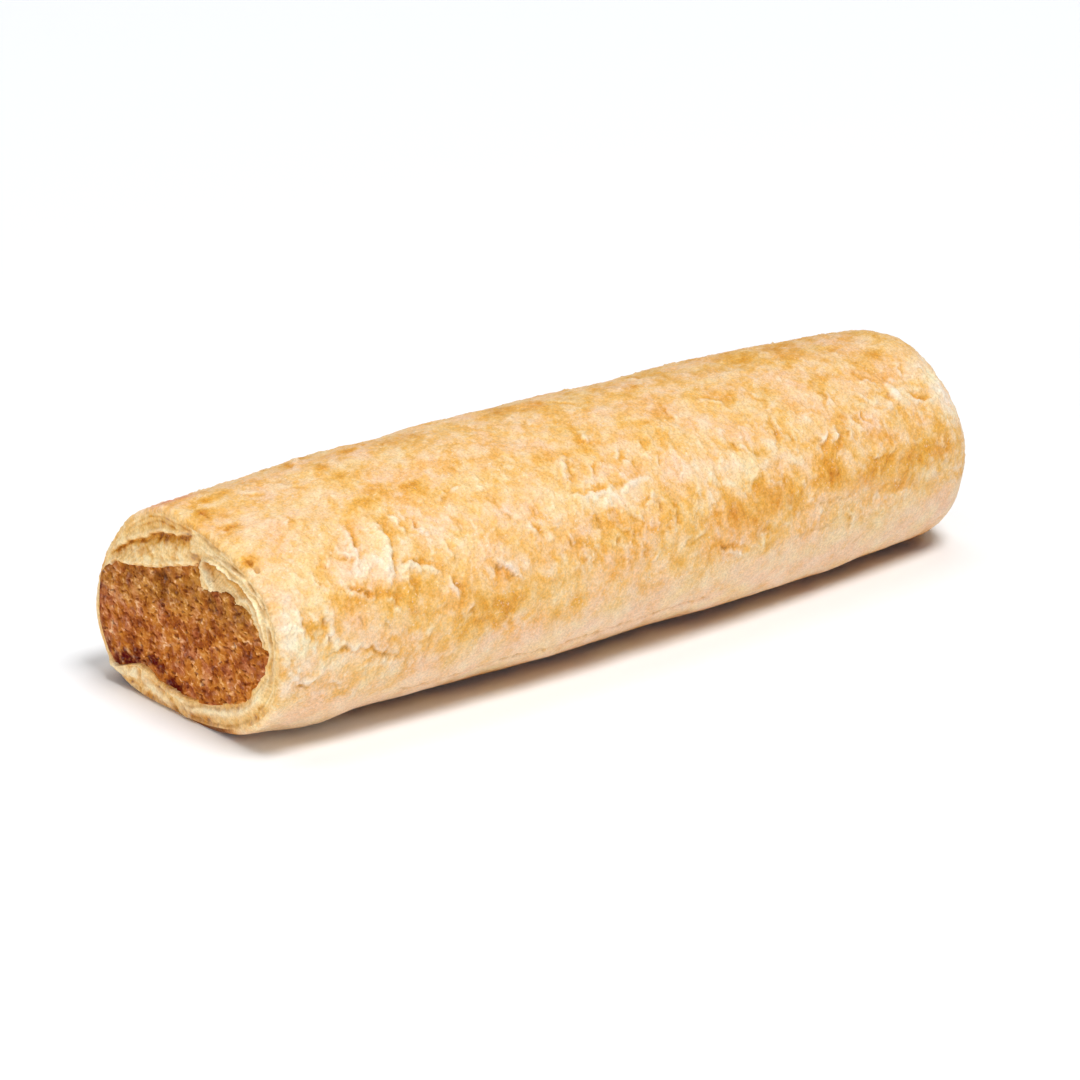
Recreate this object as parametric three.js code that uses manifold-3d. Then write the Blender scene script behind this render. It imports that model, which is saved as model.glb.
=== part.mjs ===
// A sausage roll: a sleeve of puff pastry baked round a core of ground meat.
// Millimetres, +Z up.  The roll lies along X and rests on the plane z = 0.
// Its straight cut end faces -X, its front side faces -Y, and the rounder end faces +X.
import * as THREE from "three";
import Module from "manifold-3d";
import { mergeVertices } from "three/addons/utils/BufferGeometryUtils.js";

const ROLL_LENGTH = 150;
const HALF_LENGTH = ROLL_LENGTH / 2;

// The pastry skin at the cut end, at mid length and at the round end.
// front and back are half widths, crown is how far the ridge sits towards the back.
const SKIN_CUT_END = { front: 24.9, back: 27.2, crown: 6.3, height: 34.0 };
const SKIN_MIDDLE = { front: 27.0, back: 26.5, crown: 0.1, height: 36.8 };
const SKIN_ROUND_END = { front: 19.5, back: 22.0, crown: 0.5, height: 33.8 };

// The height of the widest place, and how square each quarter is: 2 is an ellipse.
const SKIN_BELLY = { front: 18.3, back: 11.7 };
const SKIN_QUARTERS_CUT_END = { frontTop: 2.24, backTop: 1.62, backBase: 2.6, frontBase: 2.43 };
const SKIN_QUARTERS = { frontTop: 1.9, backTop: 2.0, backBase: 2.4, frontBase: 2.45 };
const BASE_SAG = 1.0; // how far the round of the base is pressed flat
const CUT_BLEND = 52; // length over which the cut end's outline eases into the body's
const CUT_EDGE_ROUND = 0.9;
const ROUND_END_ROUND = 8.6;

// Slow swellings of the skin.
const SWELL = 0.35;
const SWELL_WAVES = [
  { along: 0.11, around: 2, phase: 0.4 },
  { along: -0.19, around: 3, phase: 2.1 },
  { along: 0.31, around: 1, phase: 4.0 },
];

// The meat core, in the same terms.
const MEAT_CUT_END = { front: 20.4, back: 25.3, crown: -4.0, height: 25.2 };
const MEAT_MIDDLE = { front: 20.6, back: 21.4, crown: -1.5, height: 27.4 };
const MEAT_ROUND_END = { front: 14.6, back: 16.8, crown: 0.0, height: 25.6 };
const MEAT_BASE_CUT_END = 3.3;
const MEAT_BASE = 5.0;
const MEAT_BELLY_CUT_END = { front: 16.6, back: 11.6 };
const MEAT_BELLY = { front: 16.2, back: 14.6 };
const MEAT_QUARTERS_CUT_END = { frontTop: 2.3, backTop: 2.3, backBase: 3.6, frontBase: 1.6 };
const MEAT_QUARTERS = { frontTop: 2.2, backTop: 2.2, backBase: 2.4, frontBase: 2.1 };
const MEAT_CUT_SETBACK = 0.3;
const MEAT_ROUND_SETBACK = 0;
const MEAT_EDGE_ROUND = 1.6;

// The step in the top of the meat where a fold of pastry has pressed it down.
const STEP_Y = -2.7;
const STEP_RISE = 2.1;
const STEP_RISE_RUN = 9.0;
const STEP_DROP = 2.3;
const STEP_DROP_RUN = 6.5;
const STEP_DEPTH = 26; // how far along the roll the step reaches

const WALL_GAP = 0.3; // clearance between meat and pastry

// The crescent gap between the top crust and the fold beneath it.
const CRUST_GAP_FROM = [20.6, 22.4];
const CRUST_GAP_PEAK = [10.5, 30.2];
const CRUST_GAP_TO = [-1.6, 31.3];
const CRUST_GAP_OPEN = 1.5;
const CRUST_GAP_DEPTH = 7;

// The smooth hollow between the step and the front crust.
const HOLLOW_CENTRE = [-9.4, 26.1];
const HOLLOW_HALF = { depth: 4.5, width: 6.8, height: 2.6 };
const HOLLOW_TILT = -0.12;

// The nick where the pastry's lap joint reaches the cut end.
const LAP_NICK = { y: 1.2, z: 0.2, radius: 1.5, length: 7 };

const SKIN_POINTS = 56;
const SKIN_RINGS = 22;
const CORE_POINTS = 40;
const CORE_RINGS = 12;
const ROUND_STEPS = 5;

const clamp = (value) => Math.min(1, Math.max(0, value));
const lerp = (a, b, t) => a + (b - a) * t;

function ease(value) {
  const t = clamp(value);
  return t * t * (3 - 2 * t);
}

// A smooth curve through three values, at u = -1, 0 and 1.
function throughThree(a, b, c, u) {
  return (a * u * (u - 1)) / 2 + b * (1 - u * u) + (c * u * (u + 1)) / 2;
}

function blendFields(a, b, t) {
  const out = {};
  for (const key of Object.keys(a)) out[key] = lerp(a[key], b[key], t);
  return out;
}

// The outline sizes of a body at the station x, from its sizes at three stations.
function stationSizes(cutEnd, middle, roundEnd, x) {
  const u = x / HALF_LENGTH;
  const sizes = {};
  for (const key of ["front", "back", "height"])
    sizes[key] = throughThree(cutEnd[key], middle[key], roundEnd[key], u);
  const nearCut = 1 - ease((x + HALF_LENGTH) / CUT_BLEND);
  const nearRound = clamp(u) ** 2;
  sizes.crown = lerp(middle.crown, cutEnd.crown, nearCut);
  sizes.crown += (roundEnd.crown - middle.crown) * nearRound;
  return sizes;
}

function skinAt(x) {
  const away = ease((x + HALF_LENGTH) / CUT_BLEND);
  const sizes = stationSizes(SKIN_CUT_END, SKIN_MIDDLE, SKIN_ROUND_END, x);
  const quarters = blendFields(SKIN_QUARTERS_CUT_END, SKIN_QUARTERS, away);
  return { ...sizes, belly: SKIN_BELLY, base: -BASE_SAG, quarters };
}

function meatAt(x) {
  const away = ease((x + HALF_LENGTH) / CUT_BLEND);
  const sizes = stationSizes(MEAT_CUT_END, MEAT_MIDDLE, MEAT_ROUND_END, x);
  const quarters = blendFields(MEAT_QUARTERS_CUT_END, MEAT_QUARTERS, away);
  const belly = blendFields(MEAT_BELLY_CUT_END, MEAT_BELLY, away);
  const base = lerp(MEAT_BASE_CUT_END, MEAT_BASE, away);
  return { ...sizes, belly, base, quarters };
}

// The point at the given angle of an outline made of four squared quarter ellipses, drawn in by inset.
function outlinePoint(section, angle, inset) {
  const c = Math.cos(angle);
  const s = Math.sin(angle);
  const isBack = c >= 0;
  const isTop = s >= 0;
  const side = isBack ? "back" : "front";
  const power = section.quarters[side + (isTop ? "Top" : "Base")];
  const across = Math.abs(c) ** (2 / power);
  const upward = Math.abs(s) ** (2 / power);
  const belly = section.belly[side];
  const reach = isBack ? section.back - section.crown : section.front + section.crown;
  const rise = isTop ? section.height - belly : belly - section.base;
  const y = section.crown + (isBack ? 1 : -1) * (reach - inset) * across;
  const z = belly + (isTop ? 1 : -1) * (rise - inset) * upward;
  return [y, z];
}

function swelling(x, angle) {
  let sum = 0;
  for (const wave of SWELL_WAVES)
    sum += Math.sin(wave.along * x + wave.around * angle + wave.phase);
  return (SWELL * sum) / SWELL_WAVES.length;
}

function skinRing(x, inset) {
  const section = skinAt(x);
  const ring = [];
  for (let i = 0; i < SKIN_POINTS; i++) {
    const angle = (2 * Math.PI * i) / SKIN_POINTS;
    const [y, z] = outlinePoint(section, angle, inset - swelling(x, angle));
    ring.push(new THREE.Vector3(x, y, Math.max(z, 0)));
  }
  return ring;
}

// The rise or drop of the meat's top on either side of the step.
function stepLift(x, y, isTop) {
  if (!isTop) return 0;
  const fade = 1 - ease((x + HALF_LENGTH) / STEP_DEPTH);
  if (y > STEP_Y) return fade * STEP_RISE * (1 - ease((y - STEP_Y) / STEP_RISE_RUN));
  return -fade * STEP_DROP * (1 - ease((STEP_Y - y) / STEP_DROP_RUN));
}

// The angle at which an outline's top reaches the given y on the front side of its crown, or the back.
function angleAt(section, y) {
  const isBack = y >= section.crown;
  const power = section.quarters[isBack ? "backTop" : "frontTop"];
  const reach = isBack ? section.back - section.crown : section.front + section.crown;
  const across = Math.abs(y - section.crown) / reach;
  const angle = Math.acos(across ** (power / 2));
  return isBack ? angle : Math.PI - angle;
}

function meatRing(x, inset) {
  const section = meatAt(x);
  const stepAngle = angleAt(section, STEP_Y);
  const angles = [stepAngle - 0.012, stepAngle + 0.012];
  const spacing = (2 * Math.PI) / CORE_POINTS;
  for (let i = 0; i < CORE_POINTS; i++) {
    const angle = stepAngle + (i + 0.5) * spacing;
    angles.push(angle > 2 * Math.PI ? angle - 2 * Math.PI : angle);
  }
  angles.sort((a, b) => a - b);
  return angles.map((angle) => {
    const [y, z] = outlinePoint(section, angle, inset);
    return new THREE.Vector3(x, y, z + stepLift(x, y, angle < Math.PI));
  });
}

// A closed solid through a row of rings of equal length, with a fan of faces over each end.
function loft(rings) {
  const count = rings[0].length;
  const points = rings.flat();
  const faces = [];
  for (let r = 0; r + 1 < rings.length; r++) {
    for (let i = 0; i < count; i++) {
      const a = r * count + i;
      const b = r * count + ((i + 1) % count);
      faces.push(a, b, a + count);
      faces.push(b, b + count, a + count);
    }
  }
  const first = points.length;
  points.push(centreOf(rings[0]));
  points.push(centreOf(rings[rings.length - 1]));
  const lastRing = (rings.length - 1) * count;
  for (let i = 0; i < count; i++) {
    const next = (i + 1) % count;
    faces.push(first, next, i);
    faces.push(first + 1, lastRing + i, lastRing + next);
  }
  const geometry = new THREE.BufferGeometry().setFromPoints(points);
  geometry.setIndex(faces);
  return geometry;
}

function centreOf(ring) {
  const sum = new THREE.Vector3();
  for (const point of ring) sum.add(point);
  return sum.divideScalar(ring.length);
}

// Stations along a body with rounded end edges: each is a place along X and how far the outline is drawn in.
function stations(from, to, fromRound, toRound, rings) {
  const list = [];
  for (let i = 0; i < ROUND_STEPS; i++) {
    const angle = (i / ROUND_STEPS) * (Math.PI / 2);
    list.push([from + fromRound * (1 - Math.cos(angle)), fromRound * (1 - Math.sin(angle))]);
  }
  for (let i = 0; i <= rings; i++) {
    const x = lerp(from + fromRound, to - toRound, i / rings);
    list.push([x, 0]);
  }
  for (let i = ROUND_STEPS - 1; i >= 0; i--) {
    const angle = (i / ROUND_STEPS) * (Math.PI / 2);
    list.push([to - toRound * (1 - Math.cos(angle)), toRound * (1 - Math.sin(angle))]);
  }
  return list;
}

function makeSkinBody() {
  const row = stations(-HALF_LENGTH, HALF_LENGTH, CUT_EDGE_ROUND, ROUND_END_ROUND, SKIN_RINGS);
  return loft(row.map(([x, inset]) => skinRing(x, inset)));
}

function makeMeatCore() {
  const from = -HALF_LENGTH + MEAT_CUT_SETBACK;
  const to = HALF_LENGTH - MEAT_ROUND_SETBACK;
  const row = stations(from, to, 0.5, MEAT_EDGE_ROUND, CORE_RINGS);
  return loft(row.map(([x, inset]) => meatRing(x, inset)));
}

// The passage for the meat, a little wider than the meat and open at both ends.
function makeMeatPassage() {
  const rings = [meatRing(-HALF_LENGTH - 2, -WALL_GAP)];
  for (let i = 0; i <= CORE_RINGS; i++) {
    const x = lerp(-HALF_LENGTH, HALF_LENGTH, i / CORE_RINGS);
    rings.push(meatRing(x, -WALL_GAP));
  }
  rings.push(meatRing(HALF_LENGTH + 2, -WALL_GAP));
  return loft(rings);
}

// Shape coordinates (y, z) extruded along +X from the cut end.
function extrudeFromCutEnd(shape, depth) {
  const geometry = new THREE.ExtrudeGeometry(shape, { depth: depth + 2, bevelEnabled: false });
  const upright = new THREE.Matrix4().set(0, 0, 1, 0, 1, 0, 0, 0, 0, 1, 0, 0, 0, 0, 0, 1);
  geometry.applyMatrix4(upright);
  geometry.translate(-HALF_LENGTH - 2, 0, 0);
  return geometry;
}

function makeCrustGap() {
  const shape = new THREE.Shape();
  shape.moveTo(...CRUST_GAP_FROM);
  shape.quadraticCurveTo(...CRUST_GAP_PEAK, ...CRUST_GAP_TO);
  const [peakY, peakZ] = CRUST_GAP_PEAK;
  shape.quadraticCurveTo(peakY - CRUST_GAP_OPEN, peakZ - 2 * CRUST_GAP_OPEN, ...CRUST_GAP_FROM);
  return extrudeFromCutEnd(shape, CRUST_GAP_DEPTH);
}

function makeHollow() {
  const geometry = new THREE.SphereGeometry(1, 24, 14);
  geometry.scale(HOLLOW_HALF.depth, HOLLOW_HALF.width, HOLLOW_HALF.height);
  geometry.rotateX(HOLLOW_TILT);
  geometry.translate(-HALF_LENGTH, ...HOLLOW_CENTRE);
  return geometry;
}

function makeLapNick() {
  const geometry = new THREE.ConeGeometry(LAP_NICK.radius, LAP_NICK.length, 12);
  geometry.rotateZ(-Math.PI / 2);
  geometry.translate(-HALF_LENGTH + LAP_NICK.length / 2 - 0.5, LAP_NICK.y, LAP_NICK.z);
  return geometry;
}

const wasm = await Module();
wasm.setup();

function toSolid(geometry) {
  const bare = new THREE.BufferGeometry();
  bare.setAttribute("position", geometry.getAttribute("position"));
  bare.setIndex(geometry.index);
  const merged = mergeVertices(bare, 1e-4);
  const vertProperties = merged.attributes.position.array;
  const triVerts = new Uint32Array(merged.index.array);
  return new wasm.Manifold(new wasm.Mesh({ numProp: 3, vertProperties, triVerts }));
}

function toGeometry(solid) {
  const mesh = solid.getMesh();
  const geometry = new THREE.BufferGeometry();
  geometry.setAttribute("position", new THREE.BufferAttribute(mesh.vertProperties, 3));
  geometry.setIndex(new THREE.BufferAttribute(mesh.triVerts, 1));
  geometry.computeVertexNormals();
  return geometry;
}

function makePastryGeometry() {
  let body = toSolid(makeSkinBody());
  for (const cut of [makeMeatPassage(), makeCrustGap(), makeHollow(), makeLapNick()])
    body = body.subtract(toSolid(cut));
  return toGeometry(body);
}

function pastryMaterial() {
  return new THREE.MeshStandardMaterial({ color: "#e0b077", roughness: 0.6, metalness: 0 });
}

function meatMaterial() {
  return new THREE.MeshStandardMaterial({ color: "#a5683c", roughness: 0.75, metalness: 0 });
}

function makePastry() {
  const mesh = new THREE.Mesh(makePastryGeometry(), pastryMaterial());
  mesh.name = "pastry";
  return mesh;
}

function makeFilling() {
  const mesh = new THREE.Mesh(toGeometry(toSolid(makeMeatCore())), meatMaterial());
  mesh.name = "sausage_filling";
  return mesh;
}

const sausageRoll = new THREE.Group();
sausageRoll.name = "sausage_roll";
sausageRoll.add(makePastry());
sausageRoll.add(makeFilling());

export default sausageRoll;
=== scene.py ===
"""A sausage roll: puff pastry baked round a core of ground meat, cut off straight at one end.

Shapes are worked out in millimetres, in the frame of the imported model: +X runs along the roll from the cut
end to the round end, the front side faces -Y, and the roll rests on z = 0.  Meshes are stored in metres.
"""

import math

import bpy
import numpy as np
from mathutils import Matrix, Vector


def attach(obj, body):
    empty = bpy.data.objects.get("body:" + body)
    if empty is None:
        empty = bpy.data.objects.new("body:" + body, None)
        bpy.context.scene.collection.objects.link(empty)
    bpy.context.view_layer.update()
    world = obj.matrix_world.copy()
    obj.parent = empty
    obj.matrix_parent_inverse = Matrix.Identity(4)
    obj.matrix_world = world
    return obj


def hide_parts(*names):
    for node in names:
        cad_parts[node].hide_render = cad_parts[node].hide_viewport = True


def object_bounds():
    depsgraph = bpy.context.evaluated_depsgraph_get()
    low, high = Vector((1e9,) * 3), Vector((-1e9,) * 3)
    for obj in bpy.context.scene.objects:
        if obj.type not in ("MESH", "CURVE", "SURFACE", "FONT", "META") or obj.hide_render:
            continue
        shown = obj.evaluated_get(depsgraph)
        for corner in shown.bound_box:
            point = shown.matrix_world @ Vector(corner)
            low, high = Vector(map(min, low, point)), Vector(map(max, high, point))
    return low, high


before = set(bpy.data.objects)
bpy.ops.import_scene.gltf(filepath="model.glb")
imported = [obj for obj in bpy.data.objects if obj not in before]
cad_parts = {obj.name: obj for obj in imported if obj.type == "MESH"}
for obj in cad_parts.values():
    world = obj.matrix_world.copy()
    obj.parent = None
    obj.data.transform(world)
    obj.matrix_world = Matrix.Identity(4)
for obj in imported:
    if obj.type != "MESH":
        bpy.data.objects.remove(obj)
cad_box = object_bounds()

MM = 0.001
ROLL_LENGTH = round((cad_box[1].x - cad_box[0].x) / MM)
HALF_LENGTH = ROLL_LENGTH / 2

# Camera: where the roll is seen from, in degrees and millimetres.
CAMERA_AZIMUTH = -38.0
CAMERA_ELEVATION = 21.0
CAMERA_DISTANCE = 1053.4
CAMERA_AIM = (-3.7, 1.6, 13.3)
CAMERA_LENS = 213.3
CAMERA_SENSOR = 36.0

# The skin's outline at the cut end, at mid length and at the round end: half widths towards the
# front and the back, how far the crown sits towards the back, and the height.
SKIN_CUT_END = {"front": 24.9, "back": 27.2, "crown": 6.3, "height": 34.0}
SKIN_MIDDLE = {"front": 27.0, "back": 26.5, "crown": 0.1, "height": 36.8}
SKIN_ROUND_END = {"front": 19.5, "back": 22.0, "crown": 0.5, "height": 33.8}
BELLY_FRONT = 18.3  # height where the outline is widest
BELLY_BACK = 11.7
# How full the four quarters of the outline are, as powers of a superellipse.
QUARTERS_CUT_END = {"front_top": 2.24, "back_top": 1.62, "back_base": 2.6, "front_base": 2.43}
QUARTERS = {"front_top": 1.9, "back_top": 2.0, "back_base": 2.4, "front_base": 2.45}
BASE_SAG = 1.0  # how far the outline would dip below the floor that flattens it
CUT_BLEND = 52.0  # how far the cut end's own outline reaches along the roll
CUT_EDGE_ROUND = 0.9
ROUND_END_ROUND = 9.7
ROUND_END_POWER = 0.8  # below 1 the far rim is boxier than a quarter circle
ROUND_END_TURN = 0.72  # how much of a quarter turn the far rim makes before the mouth begins
GIRTH = 147.0  # length once round the middle, for the scale of patterns
GIRTH_RADIUS = GIRTH / (2 * math.pi)
FLOOR_GAP = 0.02  # nothing reaches lower than this

# The mouth of the round end, where the pastry turns in to the meat: its centre (y, z), how far it is drawn
# in as a part of the way to the centre, its rows of points, and how many waves its uneven edge has.
MOUTH_CENTRE = (0.6, 16.0)
MOUTH_WIDTH = 0.18
MOUTH_ROWS = 13
MOUTH_WAVES = 14

# Mesh densities.  The skin is made in equal stretches, which keeps each piece light.
SKIN_STRETCHES = 3
STRETCH_ROWS = 212
SKIN_AROUND = 420
CUT_AROUND = 2 * SKIN_AROUND
CUT_SKIN_LENGTH = 4.0
CUT_SKIN_ROWS = 22
CUT_RIM_ROWS = 8
CUT_FACE_ROWS = 66

# The edge of the meat on the cut end, as (y, z) going round from the front.
MEAT_EDGE = [
    (-20.2, 15.4), (-20.8, 17.8), (-19.5, 18.8), (-18.6, 20.3), (-17.7, 21.8), (-16.2, 23.0),
    (-14.3, 23.4), (-12.8, 23.7), (-11.2, 24.4), (-8.9, 24.5), (-5.8, 23.7), (-3.9, 23.4), (-2.9, 24.2),
    (-2.6, 25.8), (-2.0, 27.0), (1.1, 26.1), (5.1, 24.9), (8.3, 23.7), (11.5, 23.0), (14.7, 22.2),
    (17.5, 21.6), (19.5, 21.4), (21.6, 20.1), (23.7, 18.6), (24.8, 16.9), (25.3, 14.2), (25.3, 11.0),
    (24.7, 8.3), (23.4, 5.6), (22.0, 4.1), (20.3, 3.1), (16.6, 4.4), (13.8, 5.3), (11.0, 5.0), (8.2, 4.1),
    (5.0, 3.8), (1.9, 3.5), (-2.1, 4.0), (-6.0, 4.9), (-11.9, 6.8), (-15.6, 8.8), (-16.8, 10.9),
    (-18.6, 13.0),
]
FACE_CENTRE = (1.5, 13.5)
MEAT_OVERLAP = 0.5  # how far the meat reaches under the pastry round it
MEAT_DEPTH = 60.0  # how far each plug of meat runs into the roll
# The rings of points behind a plug's face, as how far back each lies and how far it is drawn in.
MEAT_RINGS = ((0.5, 0.5), (1.4, 0.9), (MEAT_DEPTH, 1.4))
MEAT_EDGE_STEPS = 4096
CUT_MEAT_PROUD = 0.15  # how far the cut meat swells out of the cut end
CUT_MEAT_COUNTS = (320, 230)
FAR_MEAT_SUNK = 1.4  # how far the far meat lies behind the round end
FAR_MEAT_SECTION = 3.0  # its edge has the shape of the skin this far from the round end
FAR_MEAT_INSET = 6.8  # and is drawn in from it by this much
FAR_MEAT_COUNTS = (190, 150)
FAR_MEAT_STEPS = 240
CUT_MEAT_SEED = 501
FAR_MEAT_SEED = 601


def clamp(value, low=0.0, high=1.0):
    return np.minimum(np.maximum(value, low), high)


def ease(value):
    """0 below 0, 1 above 1, and a smooth step between."""
    t = clamp(value)
    return t * t * (3 - 2 * t)


def lerp(a, b, t):
    return a + (b - a) * t


def hump(distance, width):
    """1 at distance 0, falling smoothly to 0 a little beyond width."""
    return np.exp(-((distance / width) ** 2))


def through_three(a, b, c, u):
    """A smooth curve through three values, at u = -1, 0 and 1."""
    return a * u * (u - 1) / 2 + b * (1 - u * u) + c * u * (u + 1) / 2


# ---------- noise

TABLE = 256


def smooth_noise(u, v, seed, wrap=TABLE):
    """Gradient noise, about -1 to 1, with one wave every two units.  It repeats in v after wrap units."""
    turns = np.random.default_rng(seed).random((TABLE, wrap)) * 2 * math.pi
    slope_u, slope_v = np.cos(turns), np.sin(turns)
    iu, iv = np.floor(u).astype(int), np.floor(v).astype(int)
    fu, fv = u - iu, v - iv

    def corner(du, dv):
        at = (iu + du) % TABLE, (iv + dv) % wrap
        return slope_u[at] * (fu - du) + slope_v[at] * (fv - dv)

    su = fu**3 * (fu * (fu * 6 - 15) + 10)
    sv = fv**3 * (fv * (fv * 6 - 15) + 10)
    low = lerp(corner(0, 0), corner(1, 0), su)
    high = lerp(corner(0, 1), corner(1, 1), su)
    return 1.6 * lerp(low, high, sv)


def layered_noise(u, v, seed, octaves=3, wrap=TABLE, fade=0.5):
    """Smooth noise with finer layers on top, each fade times as strong as the one before."""
    total, size, full = 0, 1.0, 0.0
    for octave in range(octaves):
        scale = 2**octave
        total = total + size * smooth_noise(u * scale, v * scale, seed + octave, wrap * scale)
        full += size
        size *= fade
    return total / full


def ridged_noise(u, v, seed, octaves, wrap=TABLE):
    """Noise with sharp branching crests, 0 to about 1."""
    total, size, full, weight = 0, 1.0, 0.0, 1.0
    for octave in range(octaves):
        scale = 2**octave
        crest = (1 - np.abs(smooth_noise(u * scale, v * scale, seed + octave, wrap * scale))) ** 2 * weight
        weight = clamp(crest * 1.6)
        total = total + size * crest
        full += size
        size *= 0.6
    return total / full


def scattered_cells(u, v, seed):
    """Distance to the nearest of points scattered one a square, and that point's own value."""
    rng = np.random.default_rng(seed)
    place_u, place_v, own = rng.random((3, TABLE, TABLE))
    iu, iv = np.floor(u).astype(int), np.floor(v).astype(int)
    nearest = np.full(u.shape, 9.0)
    value = np.zeros(u.shape)
    for du in (-1, 0, 1):
        for dv in (-1, 0, 1):
            cell = (iu + du) % TABLE, (iv + dv) % TABLE
            distance = np.hypot(iu + du + place_u[cell] - u, iv + dv + place_v[cell] - v)
            closer = distance < nearest
            value = np.where(closer, own[cell], value)
            nearest = np.where(closer, distance, nearest)
    return nearest, value


# ---------- lines and outlines


def line_distance(y, z, points):
    """Distance to a line through points, the nearest place along it from 0 to 1, and the side of it.

    The side is above 0 on the left of the way the line runs.
    """
    curve = np.array(points, float)
    lengths = np.hypot(*np.diff(curve, axis=0).T)
    starts = np.concatenate([[0], np.cumsum(lengths)])
    best = np.full(y.shape, 1e9)
    along = np.zeros(y.shape)
    signed = np.zeros(y.shape)
    for (y0, z0), (y1, z1), length, start in zip(curve[:-1], curve[1:], lengths, starts):
        uy, uz = (y1 - y0) / length, (z1 - z0) / length
        t = clamp((y - y0) * uy + (z - z0) * uz, 0, length)
        gap_y, gap_z = y - y0 - t * uy, z - z0 - t * uz
        distance = np.hypot(gap_y, gap_z)
        closer = distance < best
        best = np.where(closer, distance, best)
        along = np.where(closer, (start + t) / starts[-1], along)
        signed = np.where(closer, uy * gap_z - uz * gap_y, signed)
    return best, along, signed


def even_points(y, z, count):
    """count points evenly spaced along a closed line, which ends where it begins."""
    along = np.concatenate([[0], np.cumsum(np.hypot(np.diff(y), np.diff(z)))])
    wanted = np.linspace(0, along[-1], count, endpoint=False)
    return np.interp(wanted, along, y), np.interp(wanted, along, z)


def smooth_loop(points, steps):
    """A closed curve (y, z) through the points, with steps places between each two."""
    p = np.array(points, float)
    before, after, beyond = np.roll(p, 1, 0), np.roll(p, -1, 0), np.roll(p, -2, 0)
    t = np.linspace(0, 1, steps, endpoint=False)[:, None, None]
    curve = 0.5 * (
        2 * p
        + (after - before) * t
        + (2 * before - 5 * p + 4 * after - beyond) * t**2
        + (3 * p - before - 3 * after + beyond) * t**3
    )
    loop = np.transpose(curve, (1, 0, 2)).reshape(-1, 2)
    loop = np.vstack([loop, loop[:1]])
    return loop[:, 0], loop[:, 1]


def polar_reach(y, z, angle):
    """How far the closed line (y, z) is from the face's centre in each direction."""
    line_angle = np.arctan2(z - FACE_CENTRE[1], y - FACE_CENTRE[0])
    line_reach = np.hypot(z - FACE_CENTRE[1], y - FACE_CENTRE[0])
    order = np.argsort(line_angle)
    return np.interp(angle, line_angle[order], line_reach[order], period=2 * math.pi)


def skin_section(x):
    """The measures of the skin's outline at x."""
    u = x / HALF_LENGTH
    section = {
        key: through_three(SKIN_CUT_END[key], SKIN_MIDDLE[key], SKIN_ROUND_END[key], u)
        for key in ("front", "back", "height")
    }
    near_cut = 1 - ease((x + HALF_LENGTH) / CUT_BLEND)
    section["crown"] = lerp(SKIN_MIDDLE["crown"], SKIN_CUT_END["crown"], near_cut)
    section["crown"] += (SKIN_ROUND_END["crown"] - SKIN_MIDDLE["crown"]) * max(u, 0) ** 2
    section["quarters"] = {key: lerp(QUARTERS[key], QUARTERS_CUT_END[key], near_cut) for key in QUARTERS}
    return section


def skin_outline(x, inset, count):
    """count points (y, z) evenly spaced round the skin at x, drawn in by inset, base first, then front."""
    section = skin_section(x)
    angle = np.linspace(-math.pi / 2, -2.5 * math.pi, 721)
    across, upward = np.cos(angle), np.sin(angle)
    is_back, is_top = across >= 0, upward >= 0
    quarters = section["quarters"]
    power = np.where(
        is_back,
        np.where(is_top, quarters["back_top"], quarters["back_base"]),
        np.where(is_top, quarters["front_top"], quarters["front_base"]),
    )
    belly = np.where(is_back, BELLY_BACK, BELLY_FRONT)
    reach = np.where(is_back, section["back"] - section["crown"], section["front"] + section["crown"])
    rise = np.where(is_top, section["height"] - belly, belly + BASE_SAG)
    y = section["crown"] + np.sign(across) * (reach - inset) * np.abs(across) ** (2 / power)
    z = np.maximum(belly + np.sign(upward) * (rise - inset) * np.abs(upward) ** (2 / power), 0)
    return even_points(y, z, count)


# ---------- the skin's relief and browning

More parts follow.
